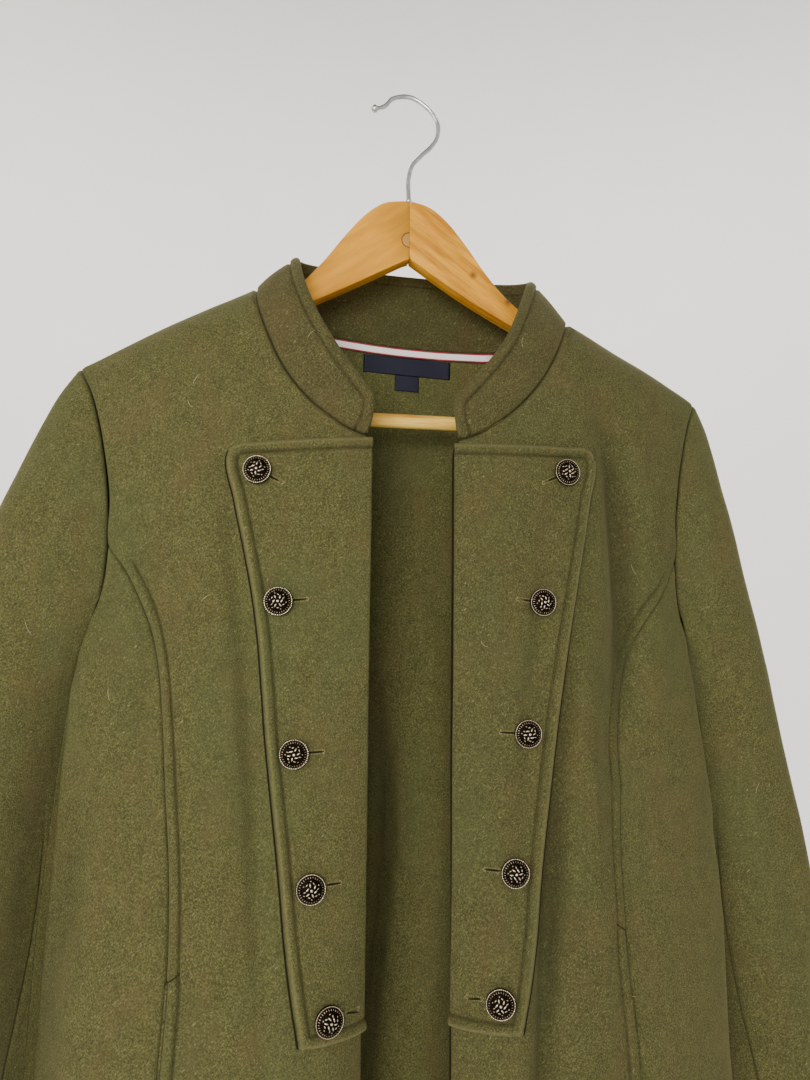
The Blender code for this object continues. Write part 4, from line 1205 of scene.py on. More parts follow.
    @staticmethod
    def shell(outer: np.ndarray, inner: np.ndarray,
              values: dict[str, np.ndarray] | None = None) -> bmesh.types.BMesh:
        """A closed mesh between two grids that meet all round their sides.

        Args:
            outer: the outer grid's points.
            inner: the inner grid's.
            values: what each point carries, by the attribute's name.

        Returns:
            The mesh.
        """
        rows, columns = outer.shape[:2]
        builder = bmesh.new()
        layers = {name: builder.verts.layers.float.new(name) for name in values or {}}
        for layer, grid in enumerate((outer, inner)):
            made = bmesh.ops.create_grid(builder, x_segments=columns - 1, y_segments=rows - 1,
                                         size=1.0)["verts"]
            for index, vert in enumerate(made):
                at = (index // columns, index % columns)
                vert.co = grid[at]
                for name, carried in layers.items():
                    vert[carried] = float(values[name][at])
            faces = list({face for vert in made for face in vert.link_faces})
            at = (rows // 2, columns // 2)
            probe = made[at[0] * columns + at[1]].link_faces[0]
            probe.normal_update()
            if (probe.normal.dot(Vector(outer[at] - inner[at])) > 0) == (layer == 1):
                bmesh.ops.reverse_faces(builder, faces=faces)
        rim = [vert for vert in builder.verts if vert.is_boundary]
        bmesh.ops.remove_doubles(builder, verts=rim, dist=1e-6)
        return builder

    def declare(self, coarse: np.ndarray) -> None:
        """Args:
            coarse: the solid's own grid.
        """
        length = max(lengths_along(column)[-1]
                     for column in coarse.swapaxes(0, 1)) + self.allowance[1]
        round_it = sum(lengths_along(rim_line(coarse, rim))[-1] for rim in Rim)


@dataclass
class Coat:
    """All the cloth of the coat, piece by piece."""

    shells: dict[str, ClothShell] = field(default_factory=dict)
    pockets: dict[Side, tuple[float, float]] = field(default_factory=lambda: {
        Side.LEFT: (-0.7450, -0.5940), Side.RIGHT: (-0.7400, -0.5770)})
    edge: RimForm = RimForm(roll=2.2 * MM, sewn=False, stitched=7.5 * MM, puff=1.1 * MM)
    laid: RimForm = RimForm(roll=2.8 * MM, sewn=False, stitched=7.5 * MM, puff=1.8 * MM,
                            droop=0.9 * MM)
    hem: RimForm = RimForm(roll=2.2 * MM, sewn=False, stitched=25 * MM, puff=0.3 * MM)
    plain: RimForm = RimForm(roll=2.0 * MM, sewn=False)

    def build(self) -> None:
        """Builds each piece of cloth."""
        # the back wears a lighter copy of the wool, painted light on its inner side
        self.add("back_cloth", "back_panel", SEAM, self.hem, SEAM, SEAM, step=3.6 * MM,
                 finish=LIT_BACK_WOOL)
        for side in Side:
            self.build_side(side)
        # the collar wears a darker copy of the wool, painted shade
        self.add("collar_cloth", "stand_collar", self.edge, SEAM, self.edge, self.edge,
                 middle=Vector((0.006, 0.0, -0.16)), step=2.4 * MM,
                 allowance=(0.012, 0.012), turning=0.006, finish=SHADED_COLLAR_WOOL)

    def build_side(self, side: Side) -> None:
        """Builds the cloth of one half of the coat.

        Args:
            side: the half.
        """
        word = side.word
        inner_first = side is Side.RIGHT
        # the right half wears a darker copy of the wool, painted shade
        finish = SHADED_RIGHT_WOOL if side is Side.RIGHT else WOOL
        welt = RimForm(stitched=7.5 * MM, below=-0.352, puff=1.2 * MM, opened=self.pockets[side])
        bust = RimForm(opened=self.pockets[side])

        def sides(centre: RimForm, outer: RimForm) -> tuple[RimForm, RimForm]:
            return (centre, outer) if inner_first else (outer, centre)

        self.add(f"front_cloth_{word}", f"front_{word}", SEAM, self.hem,
                 *sides(self.plain, welt), step=3.0 * MM, finish=finish)
        self.add(f"side_front_cloth_{word}", f"side_front_{word}", SEAM, self.hem,
                 *sides(bust, SEAM))
        self.add(f"plastron_cloth_{word}", f"plastron_{word}", self.laid, self.laid,
                 *sides(self.plain, self.laid), step=2.0 * MM, finish=finish)
        low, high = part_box(f"top_sleeve_{word}")
        middle = (low + high) / 2
        cuff = RimForm(roll=2.2 * MM, sewn=False, stitched=25 * MM, puff=0.2 * MM)
        flat_seam = RimForm(sunk_below=-0.50)
        front_first = (flat_seam, SEAM) if side is Side.RIGHT else (SEAM, flat_seam)
        self.add(f"top_sleeve_cloth_{word}", f"top_sleeve_{word}", SEAM, cuff, *front_first,
                 middle=middle)
        self.add(f"under_sleeve_cloth_{word}", f"under_sleeve_{word}", SEAM, cuff,
                 *front_first[::-1], middle=middle)

    def add(self, name: str, node: str, top: RimForm, foot: RimForm, left: RimForm,
            right: RimForm, **options: float | Vector | Finish) -> None:
        """Builds a shell and keeps it by its name.

        Args:
            name: the piece's name.
            node: the solid that it stands for.
            top: how its top side ends.
            foot: how its foot ends.
            left: how its left side ends, as seen from outside.
            right: how its right side ends.
            options: other fields of the shell.
        """
        shell = ClothShell(name, node, {Rim.TOP: top, Rim.FOOT: foot, Rim.LEFT: left,
                                        Rim.RIGHT: right}, **options)
        shell.build()
        self.shells[name] = shell


# ---------------------------------------------------------------- sewing

def add_bead(builder: bmesh.types.BMesh, centre: np.ndarray, along: np.ndarray,
             outward: np.ndarray, half: tuple[float, float, float],
             segments: tuple[int, int] = (6, 4)) -> list[bmesh.types.BMVert]:
    """Adds a small ellipsoid, as for a stitch.

    Args:
        builder: the mesh that it joins.
        centre: its middle.
        along: the direction of its long axis.
        outward: a direction about square to that, out of the cloth.
        half: its half lengths along, across and outward.
        segments: its faces round and along the long axis.

    Returns:
        Its points.
    """
    along = Vector(along).normalized()
    across = Vector(outward).cross(along).normalized()
    outward = along.cross(across)
    turn = Matrix((across * half[1], outward * half[2], along * half[0])).transposed()
    return bmesh.ops.create_uvsphere(builder, u_segments=segments[0], v_segments=segments[1],
                                     radius=1.0, matrix=Matrix.Translation(centre)
                                     @ turn.to_4x4())["verts"]


def add_cord(builder: bmesh.types.BMesh, line: np.ndarray, normals: np.ndarray,
             radius: float, sides: int = 6) -> None:
    """Adds a thin round cord along a line, as for a thread or a hair.

    Args:
        builder: the mesh that it joins.
        line: the line's points.
        normals: directions about square to the line.
        radius: the cord's radius; it thins out at both ends.
        sides: its faces round.
    """
    along = unit(np.gradient(line, axis=0))
    across = unit(np.cross(along, normals))
    upward = np.cross(across, along)
    made = bmesh.ops.create_grid(builder, x_segments=sides, y_segments=len(line) - 1,
                                 size=1.0)["verts"]
    for index, vert in enumerate(made):
        row, part = index // (sides + 1), index % (sides + 1)
        angle = 2 * math.pi * part / sides
        width = radius * (0.15 if row in (0, len(line) - 1) else 1.0)
        vert.co = line[row] + width * (across[row] * math.cos(angle)
                                       + upward[row] * math.sin(angle))
    faces = list({face for vert in made for face in vert.link_faces})
    bmesh.ops.remove_doubles(builder, verts=made, dist=1e-7)
    bmesh.ops.recalc_face_normals(builder, faces=[face for face in faces if face.is_valid])


def surface_at(tree: BVHTree, x: float, z: float, face: Face) -> tuple[np.ndarray, np.ndarray]:
    """The place and direction of a surface as seen from one face of the coat.

    Args:
        tree: the surface.
        x: where it is looked at.
        z: the height there.
        face: the side that it is looked at from.

    Returns:
        The place and the outward direction.
    """
    place, normal, _, _ = tree.ray_cast(Vector((x, 0.3 * face.value, z)),
                                        Vector((0.0, -face.value, 0.0)))
    if normal.y * face.value < 0:
        normal = -normal
    return np.array(place), np.array(normal)


@dataclass
class Sewing:
    """Topstitching, buttonholes and the bars at the pockets' ends."""

    coat: Coat
    pitch: float = 4.2 * MM
    stitch: tuple[float, float, float] = (1.55 * MM, 0.30 * MM, 0.24 * MM)
    lip_beads: int = 15
    bar_beads: int = 11
    longest_step: float = 14 * MM

    def build(self) -> None:
        """Sews the coat."""
        self.topstitch()
        self.facing_edges()
        self.buttonholes()
        self.pocket_bars()

    def topstitch(self) -> None:
        """Lays stitches in each stitch line's groove."""
        for name, shell in self.coat.shells.items():
            builder = bmesh.new()
            for rim, form in shell.rims.items():
                if not form.stitched:
                    continue
                line, normals = shell.line_from(rim, form.stitched)
                self.stitch_line(builder, line, normals)
            if builder.verts:
                add_piece(f"stitches_{name}", builder, THREAD)
            else:
                builder.free()

    def stitch_line(self, builder: bmesh.types.BMesh, line: np.ndarray,
                    normals: np.ndarray) -> None:
        """Lays a row of stitches along a line.

        Args:
            builder: the mesh that they join.
            line: the line's points.
            normals: the cloth's directions there.
        """
        if len(line) < 4:
            return
        knots = lengths_along(line)
        for start in np.arange(0.0, knots[-1] - self.pitch, self.pitch):
            ends = [np.array([np.interp(start + reach, knots, line[:, axis])
                              for axis in range(3)]) for reach in (0.0, 2 * self.stitch[0])]
            near = np.searchsorted(knots, start)
            if knots[min(near + 1, len(knots) - 1)] - knots[max(near - 1, 0)] > self.longest_step:
                continue
            normal = normals[near]
            add_bead(builder, (ends[0] + ends[1]) / 2 - normal * 0.05 * MM,
                     ends[1] - ends[0], normal, self.stitch)

    def facing_edges(self) -> None:
        """Lays a dark cord along each plastron's outer side: a painted shadow in the crack there.

        A like dark cord along the right front's inner edge is a painted shadow too.
        """
        for side in Side:
            shell = self.coat.shells[f"plastron_cloth_{side.word}"]
            outer, normals = shell.outer, shell.normals
            if side is Side.LEFT:
                outer, normals = outer[:, ::-1], normals[:, ::-1]
            edge, out = outer[6:, -1], normals[6:, -1]
            line = edge + unit(edge - outer[6:, -5]) * 0.35 * MM - out * 0.75 * MM
            keep = np.append(True, np.linalg.norm(np.diff(line, axis=0), axis=1) > 0.4 * MM)
            builder = bmesh.new()
            add_cord(builder, line[keep], out[keep], 0.95 * MM)
            add_piece(f"facing_edge_{side.word}", builder, SHADOWED)
        front = self.coat.shells["front_cloth_right"]
        builder = bmesh.new()
        add_cord(builder, front.outer[5:-3, 0] + np.array((-0.3, 1.3, 0.0)) * MM,
                 front.normals[5:-3, 0], 0.85 * MM)
        add_piece("facing_edge_inner", builder, SHADOWED)

    def buttonholes(self) -> None:
        """Works a buttonhole from under each button towards the coat's middle."""
        for side in Side:
            tree = tree_of(f"plastron_cloth_{side.word}")
            builder, slits = bmesh.new(), bmesh.new()
            for number in range(1, 6):
                low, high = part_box(f"button_{side.word}_{number}")
                x, z = (low[0] + high[0]) / 2, (low[2] + high[2]) / 2
                slope = (-0.42 if number == 1 else 0.10) - 0.04 * (number % 2)
                self.buttonhole(builder, slits, tree, x, z, side, slope)
            add_piece(f"buttonholes_{side.word}", builder, PALE_THREAD)
            add_piece(f"buttonhole_slits_{side.word}", slits, SHADOWED)

    def buttonhole(self, builder: bmesh.types.BMesh, slits: bmesh.types.BMesh, tree: BVHTree,
                   x: float, z: float, side: Side, slope: float) -> None:
        """Works one buttonhole.

        Args:
            builder: the mesh that its stitches join.
            slits: the mesh that its dark slit joins.
            tree: the plastron's surface.
            x: the button's middle.
            z: its height.
            side: the coat's half.
            slope: the buttonhole's rise towards the middle.
        """
        run = np.array((-side.value, slope)) / math.hypot(1.0, slope)
        rise = np.array((-run[1], run[0]))
        across, along = np.array((rise[0], 0.0, rise[1])), np.array((run[0], 0.0, run[1]))
        start = np.array((x, z))
        place, normal = surface_at(tree, *(start + run * 11.5 * MM), Face.FRONT)
        # a dark bead in the slit: painted shade in the opening
        add_bead(slits, place, along, normal, (6.8 * MM, 0.60 * MM, 0.42 * MM), (8, 12))
        for step in range(self.lip_beads):
            for lip in (-1, 1):
                flat = start + run * (4.0 + step * 0.95) * MM + rise * lip * 1.05 * MM
                place, normal = surface_at(tree, *flat, Face.FRONT)
                add_bead(builder, place - normal * 0.16 * MM, across, normal,
                         (0.60 * MM, 0.30 * MM, 0.26 * MM))
        # three stitches fan round the inner end
        for step in range(3):
            flat = start + run * (17.9 + 0.7 * (step % 2)) * MM + rise * (step - 1) * 0.95 * MM
            place, normal = surface_at(tree, *flat, Face.FRONT)
            add_bead(builder, place, across + (step - 0.4) * along, normal,
                     (0.95 * MM, 0.30 * MM, 0.36 * MM))

    def pocket_bars(self) -> None:
        """Works a slanted bar tack across the welt at both ends of each pocket."""
        for side in Side:
            tree = tree_of(f"front_cloth_{side.word}")
            shell = self.coat.shells[f"front_cloth_{side.word}"]
            rim = Rim.RIGHT if side is Side.RIGHT else Rim.LEFT
            line = rim_line(shell.outer, rim)
            builder = bmesh.new()
            for height in self.coat.pockets[side]:
                seam_x = float(np.interp(-height, -line[:, 2], line[:, 0]))
                for step in range(self.bar_beads):
                    x = seam_x - side.value * (0.8 + step * 0.62) * MM
                    z = height + (step * 0.42 - 2.0) * MM
                    place, normal = surface_at(tree, x, z, Face.FRONT)
                    add_bead(builder, place, np.array((0.5 * -side.value, 0.0, 1.0)), normal,
                             (0.62 * MM, 0.34 * MM, 0.26 * MM))
            add_piece(f"pocket_bars_{side.word}", builder, SHADOWED)
            self.pocket_lip(side, line)

    def pocket_lip(self, side: Side, line: np.ndarray) -> None:
        """Lays the rolled lip of the pocket bag in the open stretch of the seam.

        Args:
            side: the coat's half.
            line: the front's edge along the seam.
        """
        low, high = self.coat.pockets[side]
        inside = line[(line[:, 2] > low + 2 * MM) & (line[:, 2] < high - 2 * MM)]
        facing = np.tile((0.0, -1.0, 0.0), (len(inside), 1))
        middle = inside + np.array((side.value * 0.9 * MM, 1.5 * MM, 0.0))
        builder = bmesh.new()
        add_cord(builder, middle, facing, 1.25 * MM, 8)
        add_piece(f"pocket_lip_{side.word}", builder, WOOL)


@dataclass
class Lint:
    """A few stray pale hairs that cling to the wool, at listed places."""

    coat: Coat
    places: tuple[tuple[Face, float, float, float, float], ...] = (
        (Face.FRONT, -0.140, -0.236, 9.0, 1.1), (Face.FRONT, -0.143, -0.252, 6.0, 2.2),
        (Face.FRONT, -0.236, -0.395, 10.0, 2.0), (Face.FRONT, -0.185, -0.435, 8.0, 1.7),
        (Face.FRONT, -0.128, -0.376, 8.0, 0.7), (Face.FRONT, -0.068, -0.205, 7.0, 0.9),
        (Face.FRONT, 0.074, -0.200, 9.0, 1.5), (Face.FRONT, 0.046, -0.402, 6.0, 2.4),
        (Face.FRONT, 0.158, -0.350, 8.0, 2.0), (Face.FRONT, 0.140, -0.620, 7.0, 0.4),
        (Face.FRONT, 0.252, -0.500, 8.0, 1.2), (Face.BACK, -0.080, -0.300, 9.0, 0.8),
        (Face.BACK, 0.110, -0.470, 8.0, 2.1), (Face.BACK, 0.020, -0.700, 10.0, 1.4))

    def build(self) -> None:
        """Lays each hair on the cloth, bent in a shallow bow."""
        builder, tree = bmesh.new(), tree_of(*self.coat.shells)
        for face, x, z, length, lean in self.places:
            line, normals = [], []
            for step in range(7):
                share = step / 6 - 0.5
                along = np.array((math.cos(lean), math.sin(lean)))
                bow = np.array((-along[1], along[0])) * (0.9 - 3.6 * share * share)
                flat = np.array((x, z)) + (along * length * share + bow) * MM
                place, normal = surface_at(tree, *flat, face)
                line.append(place + normal * (0.25 + 0.9 * abs(share)) * MM)
                normals.append(normal)
            add_cord(builder, np.array(line), np.array(normals), 0.10 * MM, 5)
        add_piece("stray_hairs", builder, HAIR)


def tree_of(*names: str) -> BVHTree:
    """The surface of one or more finished pieces, for finding places on it."""
    builder = bmesh.new()
    for name in names:
        builder.from_mesh(bpy.data.objects[name].data)
    tree = BVHTree.FromBMesh(builder)
    builder.free()
    return tree


# ---------------------------------------------------------------- buttons

@dataclass
class Buttons:
    """Domed metal shank buttons with a rope rim, a ring of ribs and a rosette."""

    profile: tuple[tuple[float, float], ...] = (
        (0.0, 0.3), (2.3, 0.3), (2.3, 2.4), (7.6, 2.0), (8.5, 2.3), (9.0, 3.0), (8.95, 3.7),
        (8.5, 4.1), (7.9, 4.15), (7.5, 3.95), (7.2, 4.15), (6.6, 4.75), (5.9, 5.25),
        (5.5, 5.30), (5.2, 5.55), (4.0, 6.05), (2.6, 6.45), (1.2, 6.65), (0.0, 6.7))
    rope_beads: int = 40
    ribs: int = 30
    turns: tuple[float, ...] = (0.4, 1.1, 0.2, 0.8, 1.9, 0.6, 1.4, 0.1, 2.2, 0.9)

    def build(self) -> None:
        """Makes one button and sets it on the coat ten times."""
        master = self.master()
        turns = iter(self.turns)
        for side in Side:
            tree = tree_of(f"plastron_cloth_{side.word}")
            for number in range(1, 6):
                self.place(master, tree, side, number, next(turns))
        bpy.data.meshes.remove(master)

    def height_at(self, radius: float) -> float:
        """The dome's height in millimetres at a distance from its middle."""
        dome = self.profile[:8:-1]
        return float(np.interp(radius, [r for r, _ in dome], [z for _, z in dome]))

    def master(self) -> bpy.types.Mesh:
        """One button at the origin, its face up, with its rubbed places marked."""
        builder = revolved([(radius * MM, height * MM) for radius, height in self.profile], 56)
        dome = set(builder.verts)
        for step in range(self.rope_beads):
            self.bead(builder, 8.45, step / self.rope_beads, (0.95, 0.34, 0.52), 0.10)
        for step in range(self.ribs):
            length = 0.85 if step % 3 else 0.55
            self.bead(builder, 6.85, step / self.ribs, (length, 0.28, 0.50), math.pi / 2)
        # six loose swirls of three petals each, and a boss in the middle
        for step in range(6):
            sway = math.sin(step * 2.3)
            self.bead(builder, 2.8 + 0.4 * sway, step / 6, (1.35, 0.52, 0.80),
                      1.2 + 0.7 * sway, (8, 6))
            self.bead(builder, 4.0, (step + 0.45) / 6, (0.95, 0.40, 0.66), 0.5 - 0.9 * sway)
            self.bead(builder, 5.0, (step + 0.8) / 6, (0.62, 0.38, 0.56), 0.6 * sway)
        self.bead(builder, 0.0, 0.0, (0.95, 0.95, 0.9), 0.0, (10, 8))
        worn = builder.verts.layers.float.new("worn")
        for vert in builder.verts:
            radius = math.hypot(vert.co.x, vert.co.y) / MM
            over = vert.co.z / MM - self.height_at(radius)
            if vert in dome:
                vert[worn] = 0.85 if radius > 8.9 else 0.20
            else:
                share = 1.0 if radius > 7.8 else 0.90
                vert[worn] = share * min(1.0, max(0.0, 2.4 * over - 0.12))
        mesh = bpy.data.meshes.new("button_master")
        builder.to_mesh(mesh)
        builder.free()
        return mesh

    def bead(self, builder: bmesh.types.BMesh, radius: float, part: float,
             half: tuple[float, float, float], turn: float,
             segments: tuple[int, int] = (6, 5)) -> None:
        """Sets an ellipsoid on the dome.

        Args:
            builder: the button's mesh.
            radius: its distance from the middle in millimetres.
            part: its place round the button, as a part of a full turn.
            half: its half lengths in millimetres.
            turn: the angle of its long axis from the ring's own direction.
            segments: its faces round and along the long axis.
        """
        angle = part * 2 * math.pi
        radial = np.array((math.cos(angle), math.sin(angle), 0.0))
        around = np.array((-math.sin(angle), math.cos(angle), 0.0))
        fall = (self.height_at(radius - 0.3) - self.height_at(radius + 0.3)) / 0.6 if radius else 0
        radial_down = radial + np.array((0.0, 0.0, -fall))
        along = around * math.cos(turn) + radial_down * math.sin(turn)
        outward = np.array((0.0, 0.0, 1.0)) + radial * fall
        centre = radial * radius * MM + np.array((0.0, 0.0, self.height_at(radius) * MM))
        add_bead(builder, centre, along, outward, tuple(size * MM for size in half), segments)

    def place(self, master: bpy.types.Mesh, tree: BVHTree, side: Side, number: int,
              turn: float) -> None:
        """Sets a button on its plastron.

        Args:
            master: the button's mesh.
            tree: the plastron's surface.
            side: the coat's half.
            number: the button's place from the top.
            turn: how far it is turned on its shank.
        """
        node = f"button_{side.word}_{number}"
        points = np.array([vert.co for vert in frame["nodes"][node].data.vertices])
        middle = points.mean(axis=0)
        outward = np.linalg.svd(points - middle)[2][-1]
        outward = outward * -np.sign(outward[1])
        hit, _, _, _ = tree.ray_cast(Vector(middle + outward * 0.02), -Vector(outward))
        facing = Vector(outward).to_track_quat("Z", "Y").to_matrix().to_4x4()
        mesh = master.copy()
        mesh.transform(Matrix.Translation(hit) @ facing @ Matrix.Rotation(turn, 4, "Z"))
        builder = bmesh.new()
        builder.from_mesh(mesh)
        bpy.data.meshes.remove(mesh)
        add_piece(f"domed_button_{side.word}_{number}", builder, BRASS, (node,))


# ---------------------------------------------------------------- neck trims

@dataclass(frozen=True)
class Trim:
    """A strip or label sewn on the inner side of the back.

    Args:
        name: the piece's name.
        node: the solid that it stands for.
        thickness: the solid's thickness.
        finish: what it wears.
        slot: the record's material slot; not used.
        flat: its cut size across and along; not used.
    """

    name: str
    node: str
    thickness: float
    finish: Finish
    slot: str
    flat: tuple[float, float]

    def build(self) -> None:
        """Builds the trim with a texture map that starts at its foot on the left."""
        behind = Vector((0.0, 0.6, -0.18))
        grid = outer_grid(self.node, behind, self.thickness)
        for _ in range(2):
            steps = 60 if grid.shape[0] < grid.shape[1] else 10
            grid = np.stack([smooth_curve(row, np.linspace(0.0, lengths_along(row)[-1], steps))
                             for row in grid.transpose(1, 0, 2)])
        if np.ptp(grid[0, :, 0]) < np.ptp(grid[:, 0, 0]):
            grid = grid.transpose(1, 0, 2)
        normals = ClothShell.grid_normals(grid)
        normals = normals * -np.sign(normals[..., 1].mean())
        rows, columns = grid.shape[:2]
        down, along = np.meshgrid(np.linspace(0, 1, rows), np.linspace(0, 1, columns),
                                  indexing="ij")
        edge = np.minimum(np.minimum(down, 1 - down) * rows, np.minimum(along, 1 - along) * columns)
        half = self.thickness / 2 * np.clip(edge / 1.2, 0.0, 1.0)[..., None]
        wave = 0.25 * MM * np.sin(grid[..., 0:1] / (7 * MM))
        centre = grid - normals * (self.thickness / 2 - wave)
        builder = ClothShell.shell(centre + normals * half, centre - normals * half)
        size = np.array((lengths_along(grid[rows // 2])[-1], lengths_along(grid[:, 0])[-1]))
        self.map_texture(builder, grid, size)
        piece = add_piece(self.name, builder, self.finish, (self.node,))

    @staticmethod
    def map_texture(builder: bmesh.types.BMesh, grid: np.ndarray, size: np.ndarray) -> None:
        """Gives each point its place along and up the trim, in heights of the trim.

        Args:
            builder: the trim's mesh.
            grid: its points.
            size: its length and height.
        """
        rows, columns = grid.shape[:2]
        flat = grid.reshape(-1, 3)
        layer = builder.loops.layers.uv.new("UVMap")
        for vert in builder.verts:
            nearest = int(((flat - np.array(vert.co)) ** 2).sum(axis=1).argmin())
            u = (nearest % columns) / (columns - 1) * size[0] / size[1]
            v = 1.0 - (nearest // columns) / (rows - 1)
            for loop in vert.link_loops:
                loop[layer].uv = (u, v)


# ---------------------------------------------------------------- hanger

@dataclass(frozen=True)
class Hanger:
    """The wooden hanger with its wire hook: softened copies of the frame's solids."""

    slope: float = math.radians(36.0)
    softness: float = 0.7 * MM

    def build(self) -> None:
        """Builds the arms, the bar and the hook."""
        left = VarnishedWood("varnished_wood_left", -self.slope, 0.55, plug=(2.4 * MM, -113.3 * MM))
        right = VarnishedWood("varnished_wood_right", self.slope, 1.3,
                              knots=((49.5 * MM, -135.9 * MM), (75.7 * MM, -154.3 * MM)))
        for side, finish in ((Side.LEFT, left), (Side.RIGHT, right)):
            node = f"hanger_arm_{side.word}"
            add_piece(f"wood_arm_{side.word}", self.softened(node), finish,
                      (node,))
        bar = VarnishedWood("varnished_wood_bar", 0.0, 1.1, "fbd46a", "c8923a")
        add_piece("wood_bar", self.round_bar(), bar, ("hanger_bar",))
        add_piece("wire_hook", self.smooth_hook(), WIRE, ("hanger_hook",))

    @staticmethod
    def outline(node: str) -> np.ndarray:
        """The outline of a flat arm's front as a smooth curve, without its last point again."""
        builder = solid_mesh(node)
        bmesh.ops.dissolve_limit(builder, angle_limit=math.radians(0.6), verts=builder.verts,
                                 edges=builder.edges)
        front = min(builder.faces, key=lambda face: face.normal.y * face.calc_area())
        loop = np.array([vert.co for vert in front.verts])
        builder.free()
        ahead = unit(np.roll(loop, -1, axis=0) - loop)
        start = int((ahead * np.roll(ahead, 1, axis=0)).sum(axis=1).argmin())
        loop = np.roll(loop, -start, axis=0)
        loop = np.vstack((loop, loop[:1]))
        knots = lengths_along(loop)
        at = [np.linspace(low, high, max(1, round((high - low) / (3 * MM))), endpoint=False)
              for low, high in zip(knots, knots[1:])]
        return smooth_curve(loop, np.concatenate(at))

    def softened(self, node: str) -> bmesh.types.BMesh:
        """A flat wooden arm with a smooth outline and its outer edges rounded.

        Args:
            node: the solid that it stands for.

        Returns:
            The arm's mesh.
        """
        low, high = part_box(node)
        joint = high[0] if abs(high[0]) < abs(low[0]) else low[0]
        builder = bmesh.new()
        outline = self.outline(node)
        meeting = (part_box("hanger_arm_left")[1][0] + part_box("hanger_arm_right")[0][0]) / 2
        at_joint = abs(outline[:, 0] - joint) < 1.2 * MM
        outline[at_joint, 0] = meeting + math.copysign(0.1 * MM, low[0] + high[0])
        joint = outline[at_joint, 0][0]
        front = builder.faces.new([builder.verts.new(point) for point in outline])
        made = bmesh.ops.extrude_face_region(builder, geom=[front])["geom"]
        bmesh.ops.translate(builder, vec=(0.0, high[1] - low[1], 0.0),
                            verts=[part for part in made if isinstance(part, bmesh.types.BMVert)])
        bmesh.ops.recalc_face_normals(builder, faces=builder.faces)
        sharp = [edge for edge in builder.edges
                 if len(edge.link_faces) == 2 and edge.calc_face_angle() > math.radians(40)
                 and any(abs(vert.co.x - joint) > 0.2 * MM for vert in edge.verts)]
        bmesh.ops.bevel(builder, geom=sharp, offset=self.softness, offset_type="OFFSET",
                        affect="EDGES", segments=3, profile=0.5, material=-1)
        bmesh.ops.triangulate(builder, faces=[face for face in builder.faces
                                              if len(face.verts) > 4])
        return builder

    def round_bar(self) -> bmesh.types.BMesh:
        """A smooth round bar in place of the solid's."""
        low, high = (np.array(corner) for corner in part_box("hanger_bar"))
        middle, radius = (low + high) / 2, (high[2] - low[2]) / 2
        half = (high[0] - low[0]) / 2
        builder = bmesh.new()
        bmesh.ops.create_cone(builder, cap_ends=True, segments=32, radius1=radius,
                              radius2=radius, depth=2 * half,
                              matrix=Matrix.Translation(middle) @ Matrix.Rotation(math.pi / 2,
                                                                                  4, "Y"))
        ends = [edge for edge in builder.edges
                if len(edge.link_faces) == 2 and edge.calc_face_angle() > 1.0]
        bmesh.ops.bevel(builder, geom=ends, offset=0.6 * MM, offset_type="OFFSET",
                        affect="EDGES", segments=2, profile=0.5, material=-1)
        return builder

    @staticmethod
    def smooth_hook() -> bmesh.types.BMesh:
        """A copy of the hook's solid, drawn finer and rounder."""
        builder = solid_mesh("hanger_hook")
        bmesh.ops.join_triangles(builder, faces=builder.faces, angle_face_threshold=0.6,
                                 angle_shape_threshold=1.2)
        bmesh.ops.subdivide_edges(builder, edges=builder.edges, cuts=1, smooth=1.0,
                                  use_grid_fill=True)
        return builder


# ---------------------------------------------------------------- studio and camera

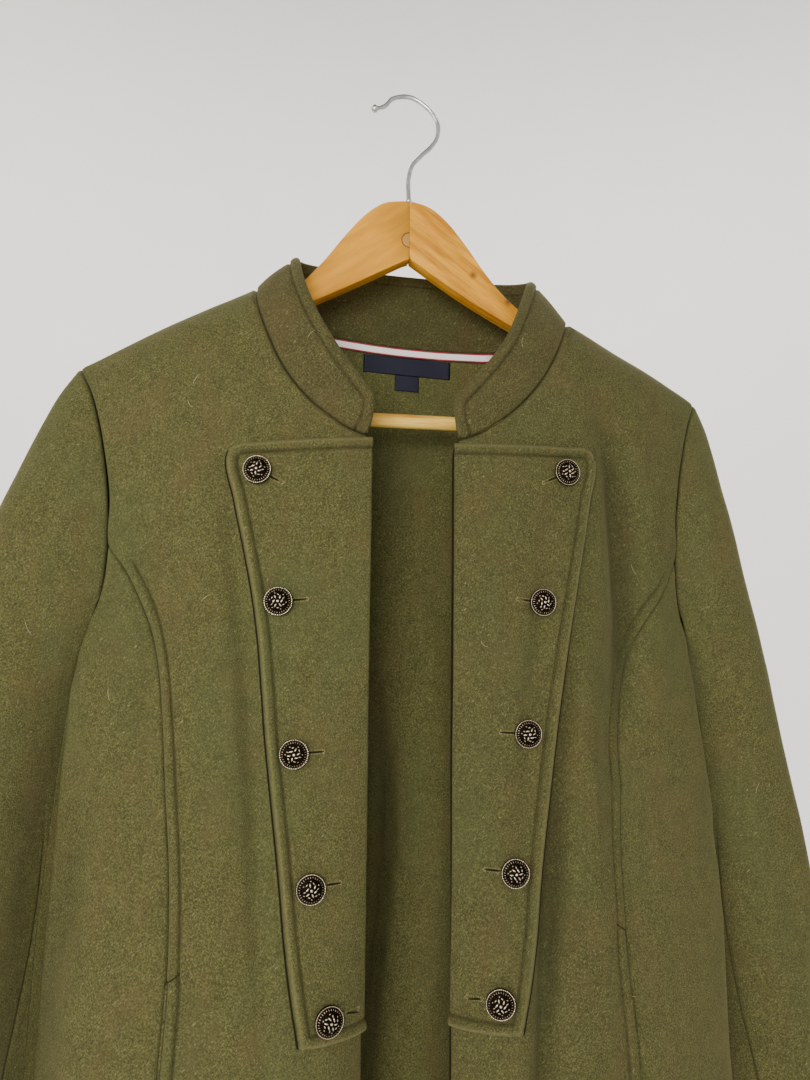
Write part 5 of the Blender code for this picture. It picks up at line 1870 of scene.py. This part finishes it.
@dataclass(frozen=True)
class Studio:
    """A pale round cyclorama, soft lamps and the camera at the photograph's place."""

    eye: tuple[float, float, float] = (-0.0892, -0.5792, -0.4022)
    yaw: float = math.radians(8.995)
    pitch: float = math.radians(6.955)
    roll: float = math.radians(0.627)
    lens: float = 28.22
    floor_height: float = -1.30
    floor_radius: float = 2.6
    wall_radius: float = 4.6
    wall_top: float = 6.5

    def build(self) -> None:
        """Builds the stage, the lamps and the camera."""
        self.cyclorama()
        self.lamps()
        self.camera()

    def cyclorama(self) -> None:
        """A floor that sweeps up into a wall all round."""
        sweep = self.wall_radius - self.floor_radius
        profile = [(0.0, self.floor_height), (self.floor_radius, self.floor_height)]
        for step in range(1, 17):
            angle = step / 16 * math.pi / 2
            profile.append((self.floor_radius + sweep * math.sin(angle),
                            self.floor_height + sweep * (1 - math.cos(angle))))
        profile.append((self.wall_radius, self.wall_top))
        builder = revolved(profile, 64)
        bmesh.ops.reverse_faces(builder, faces=builder.faces)
        mesh = bpy.data.meshes.new("cyclorama")
        builder.to_mesh(mesh)
        builder.free()
        mesh.materials.append(StudioPaint("pale_studio_paint").material())
        mesh.shade_smooth()
        floor = bpy.data.objects.new("cyclorama", mesh)
        bpy.context.scene.collection.objects.link(floor)

    def lamps(self) -> None:
        """A pale sky, soft lamps round the coat and two that wash the wall behind it."""
        world = bpy.data.worlds.new("studio_sky")
        world.use_nodes = True
        sky = world.node_tree.nodes["Background"]
        sky.inputs["Color"].default_value = linear("f1efee")
        sky.inputs["Strength"].default_value = 0.26
        bpy.context.scene.world = world
        coat, wall = (0.0, 0.0, -0.45), self.wall_radius
        for name, place, aim, size, power, colour in (
                ("key", (-0.50, -1.55, -0.22), coat, 0.75, 25.0, "fffaf2"),
                ("side", (-1.7, -1.1, -0.1), coat, 1.0, 11.5, "fff8ee"),
                ("fill", (1.8, -1.0, 0.1), coat, 1.6, 0.6, "eef2f6"),
                ("rear", (0.3, 2.0, 1.2), coat, 1.8, 12.0, "f6f4f2"),
                ("wall_left", (-1.4, 1.2, 2.4), (-1.2, wall, -0.2), 1.6, 125.0, "fbf8f6"),
                ("wall_right", (1.4, 1.2, 2.4), (1.2, wall, -0.2), 1.6, 125.0, "f4f7fa")):
            data = bpy.data.lights.new(name, "AREA")
            data.shape = "DISK"
            data.size = size
            data.energy = power
            data.color = linear(colour)[:3]
            lamp = bpy.data.objects.new(name, data)
            lamp.location = place
            lamp.rotation_mode = "QUATERNION"
            lamp.rotation_quaternion = (Vector(aim) - Vector(place)).to_track_quat("-Z", "Y")
            bpy.context.scene.collection.objects.link(lamp)

    def camera(self) -> None:
        """The camera, where the photograph was taken from."""
        ahead = Vector((math.sin(self.yaw) * math.cos(self.pitch),
                        math.cos(self.yaw) * math.cos(self.pitch), math.sin(self.pitch)))
        level = Vector((math.cos(self.yaw), -math.sin(self.yaw), 0.0))
        upward = level.cross(ahead)
        right = level * math.cos(self.roll) + upward * math.sin(self.roll)
        data = bpy.data.cameras.new("photograph")
        data.lens = self.lens
        data.sensor_width = 36.0
        data.clip_start = 0.01
        camera = bpy.data.objects.new("photograph", data)
        axes = Matrix((right, right.cross(ahead), -ahead)).transposed()
        camera.matrix_world = Matrix.Translation(self.eye) @ axes.to_4x4()
        bpy.context.scene.collection.objects.link(camera)
        bpy.context.scene.camera = camera


# ---------------------------------------------------------------- the whole scene

def clear_start() -> None:
    """Removes what Blender's start-up file brings."""
    keep = set(frame["nodes"].values()) | set(frame["bodies"].values())
    for leftover in [o for o in bpy.data.objects if o not in keep]:
        bpy.data.objects.remove(leftover, do_unlink=True)


def main() -> None:
    """Builds the scene in order."""
    logging.basicConfig(level=logging.INFO, format="%(name)s %(message)s")
    clear_start()
    coat = Coat()
    coat.build()
    Sewing(coat).build()
    Lint(coat).build()
    Buttons().build()
    for trim in (
            Trim("twill_tape", "neck_tape", 1.0 * MM, TAPE, "neck_tape", (0.162, 0.010)),
            Trim("woven_label", "neck_label", 0.6 * MM, LABEL, "navy_label", (0.071, 0.0145)),
            Trim("woven_size_label", "size_label", 0.6 * MM, LABEL, "navy_label",
                 (0.020, 0.0125))):
        trim.build()
    Hanger().build()
    Studio().build()
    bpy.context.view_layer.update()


if __name__ == "__main__":
    main()
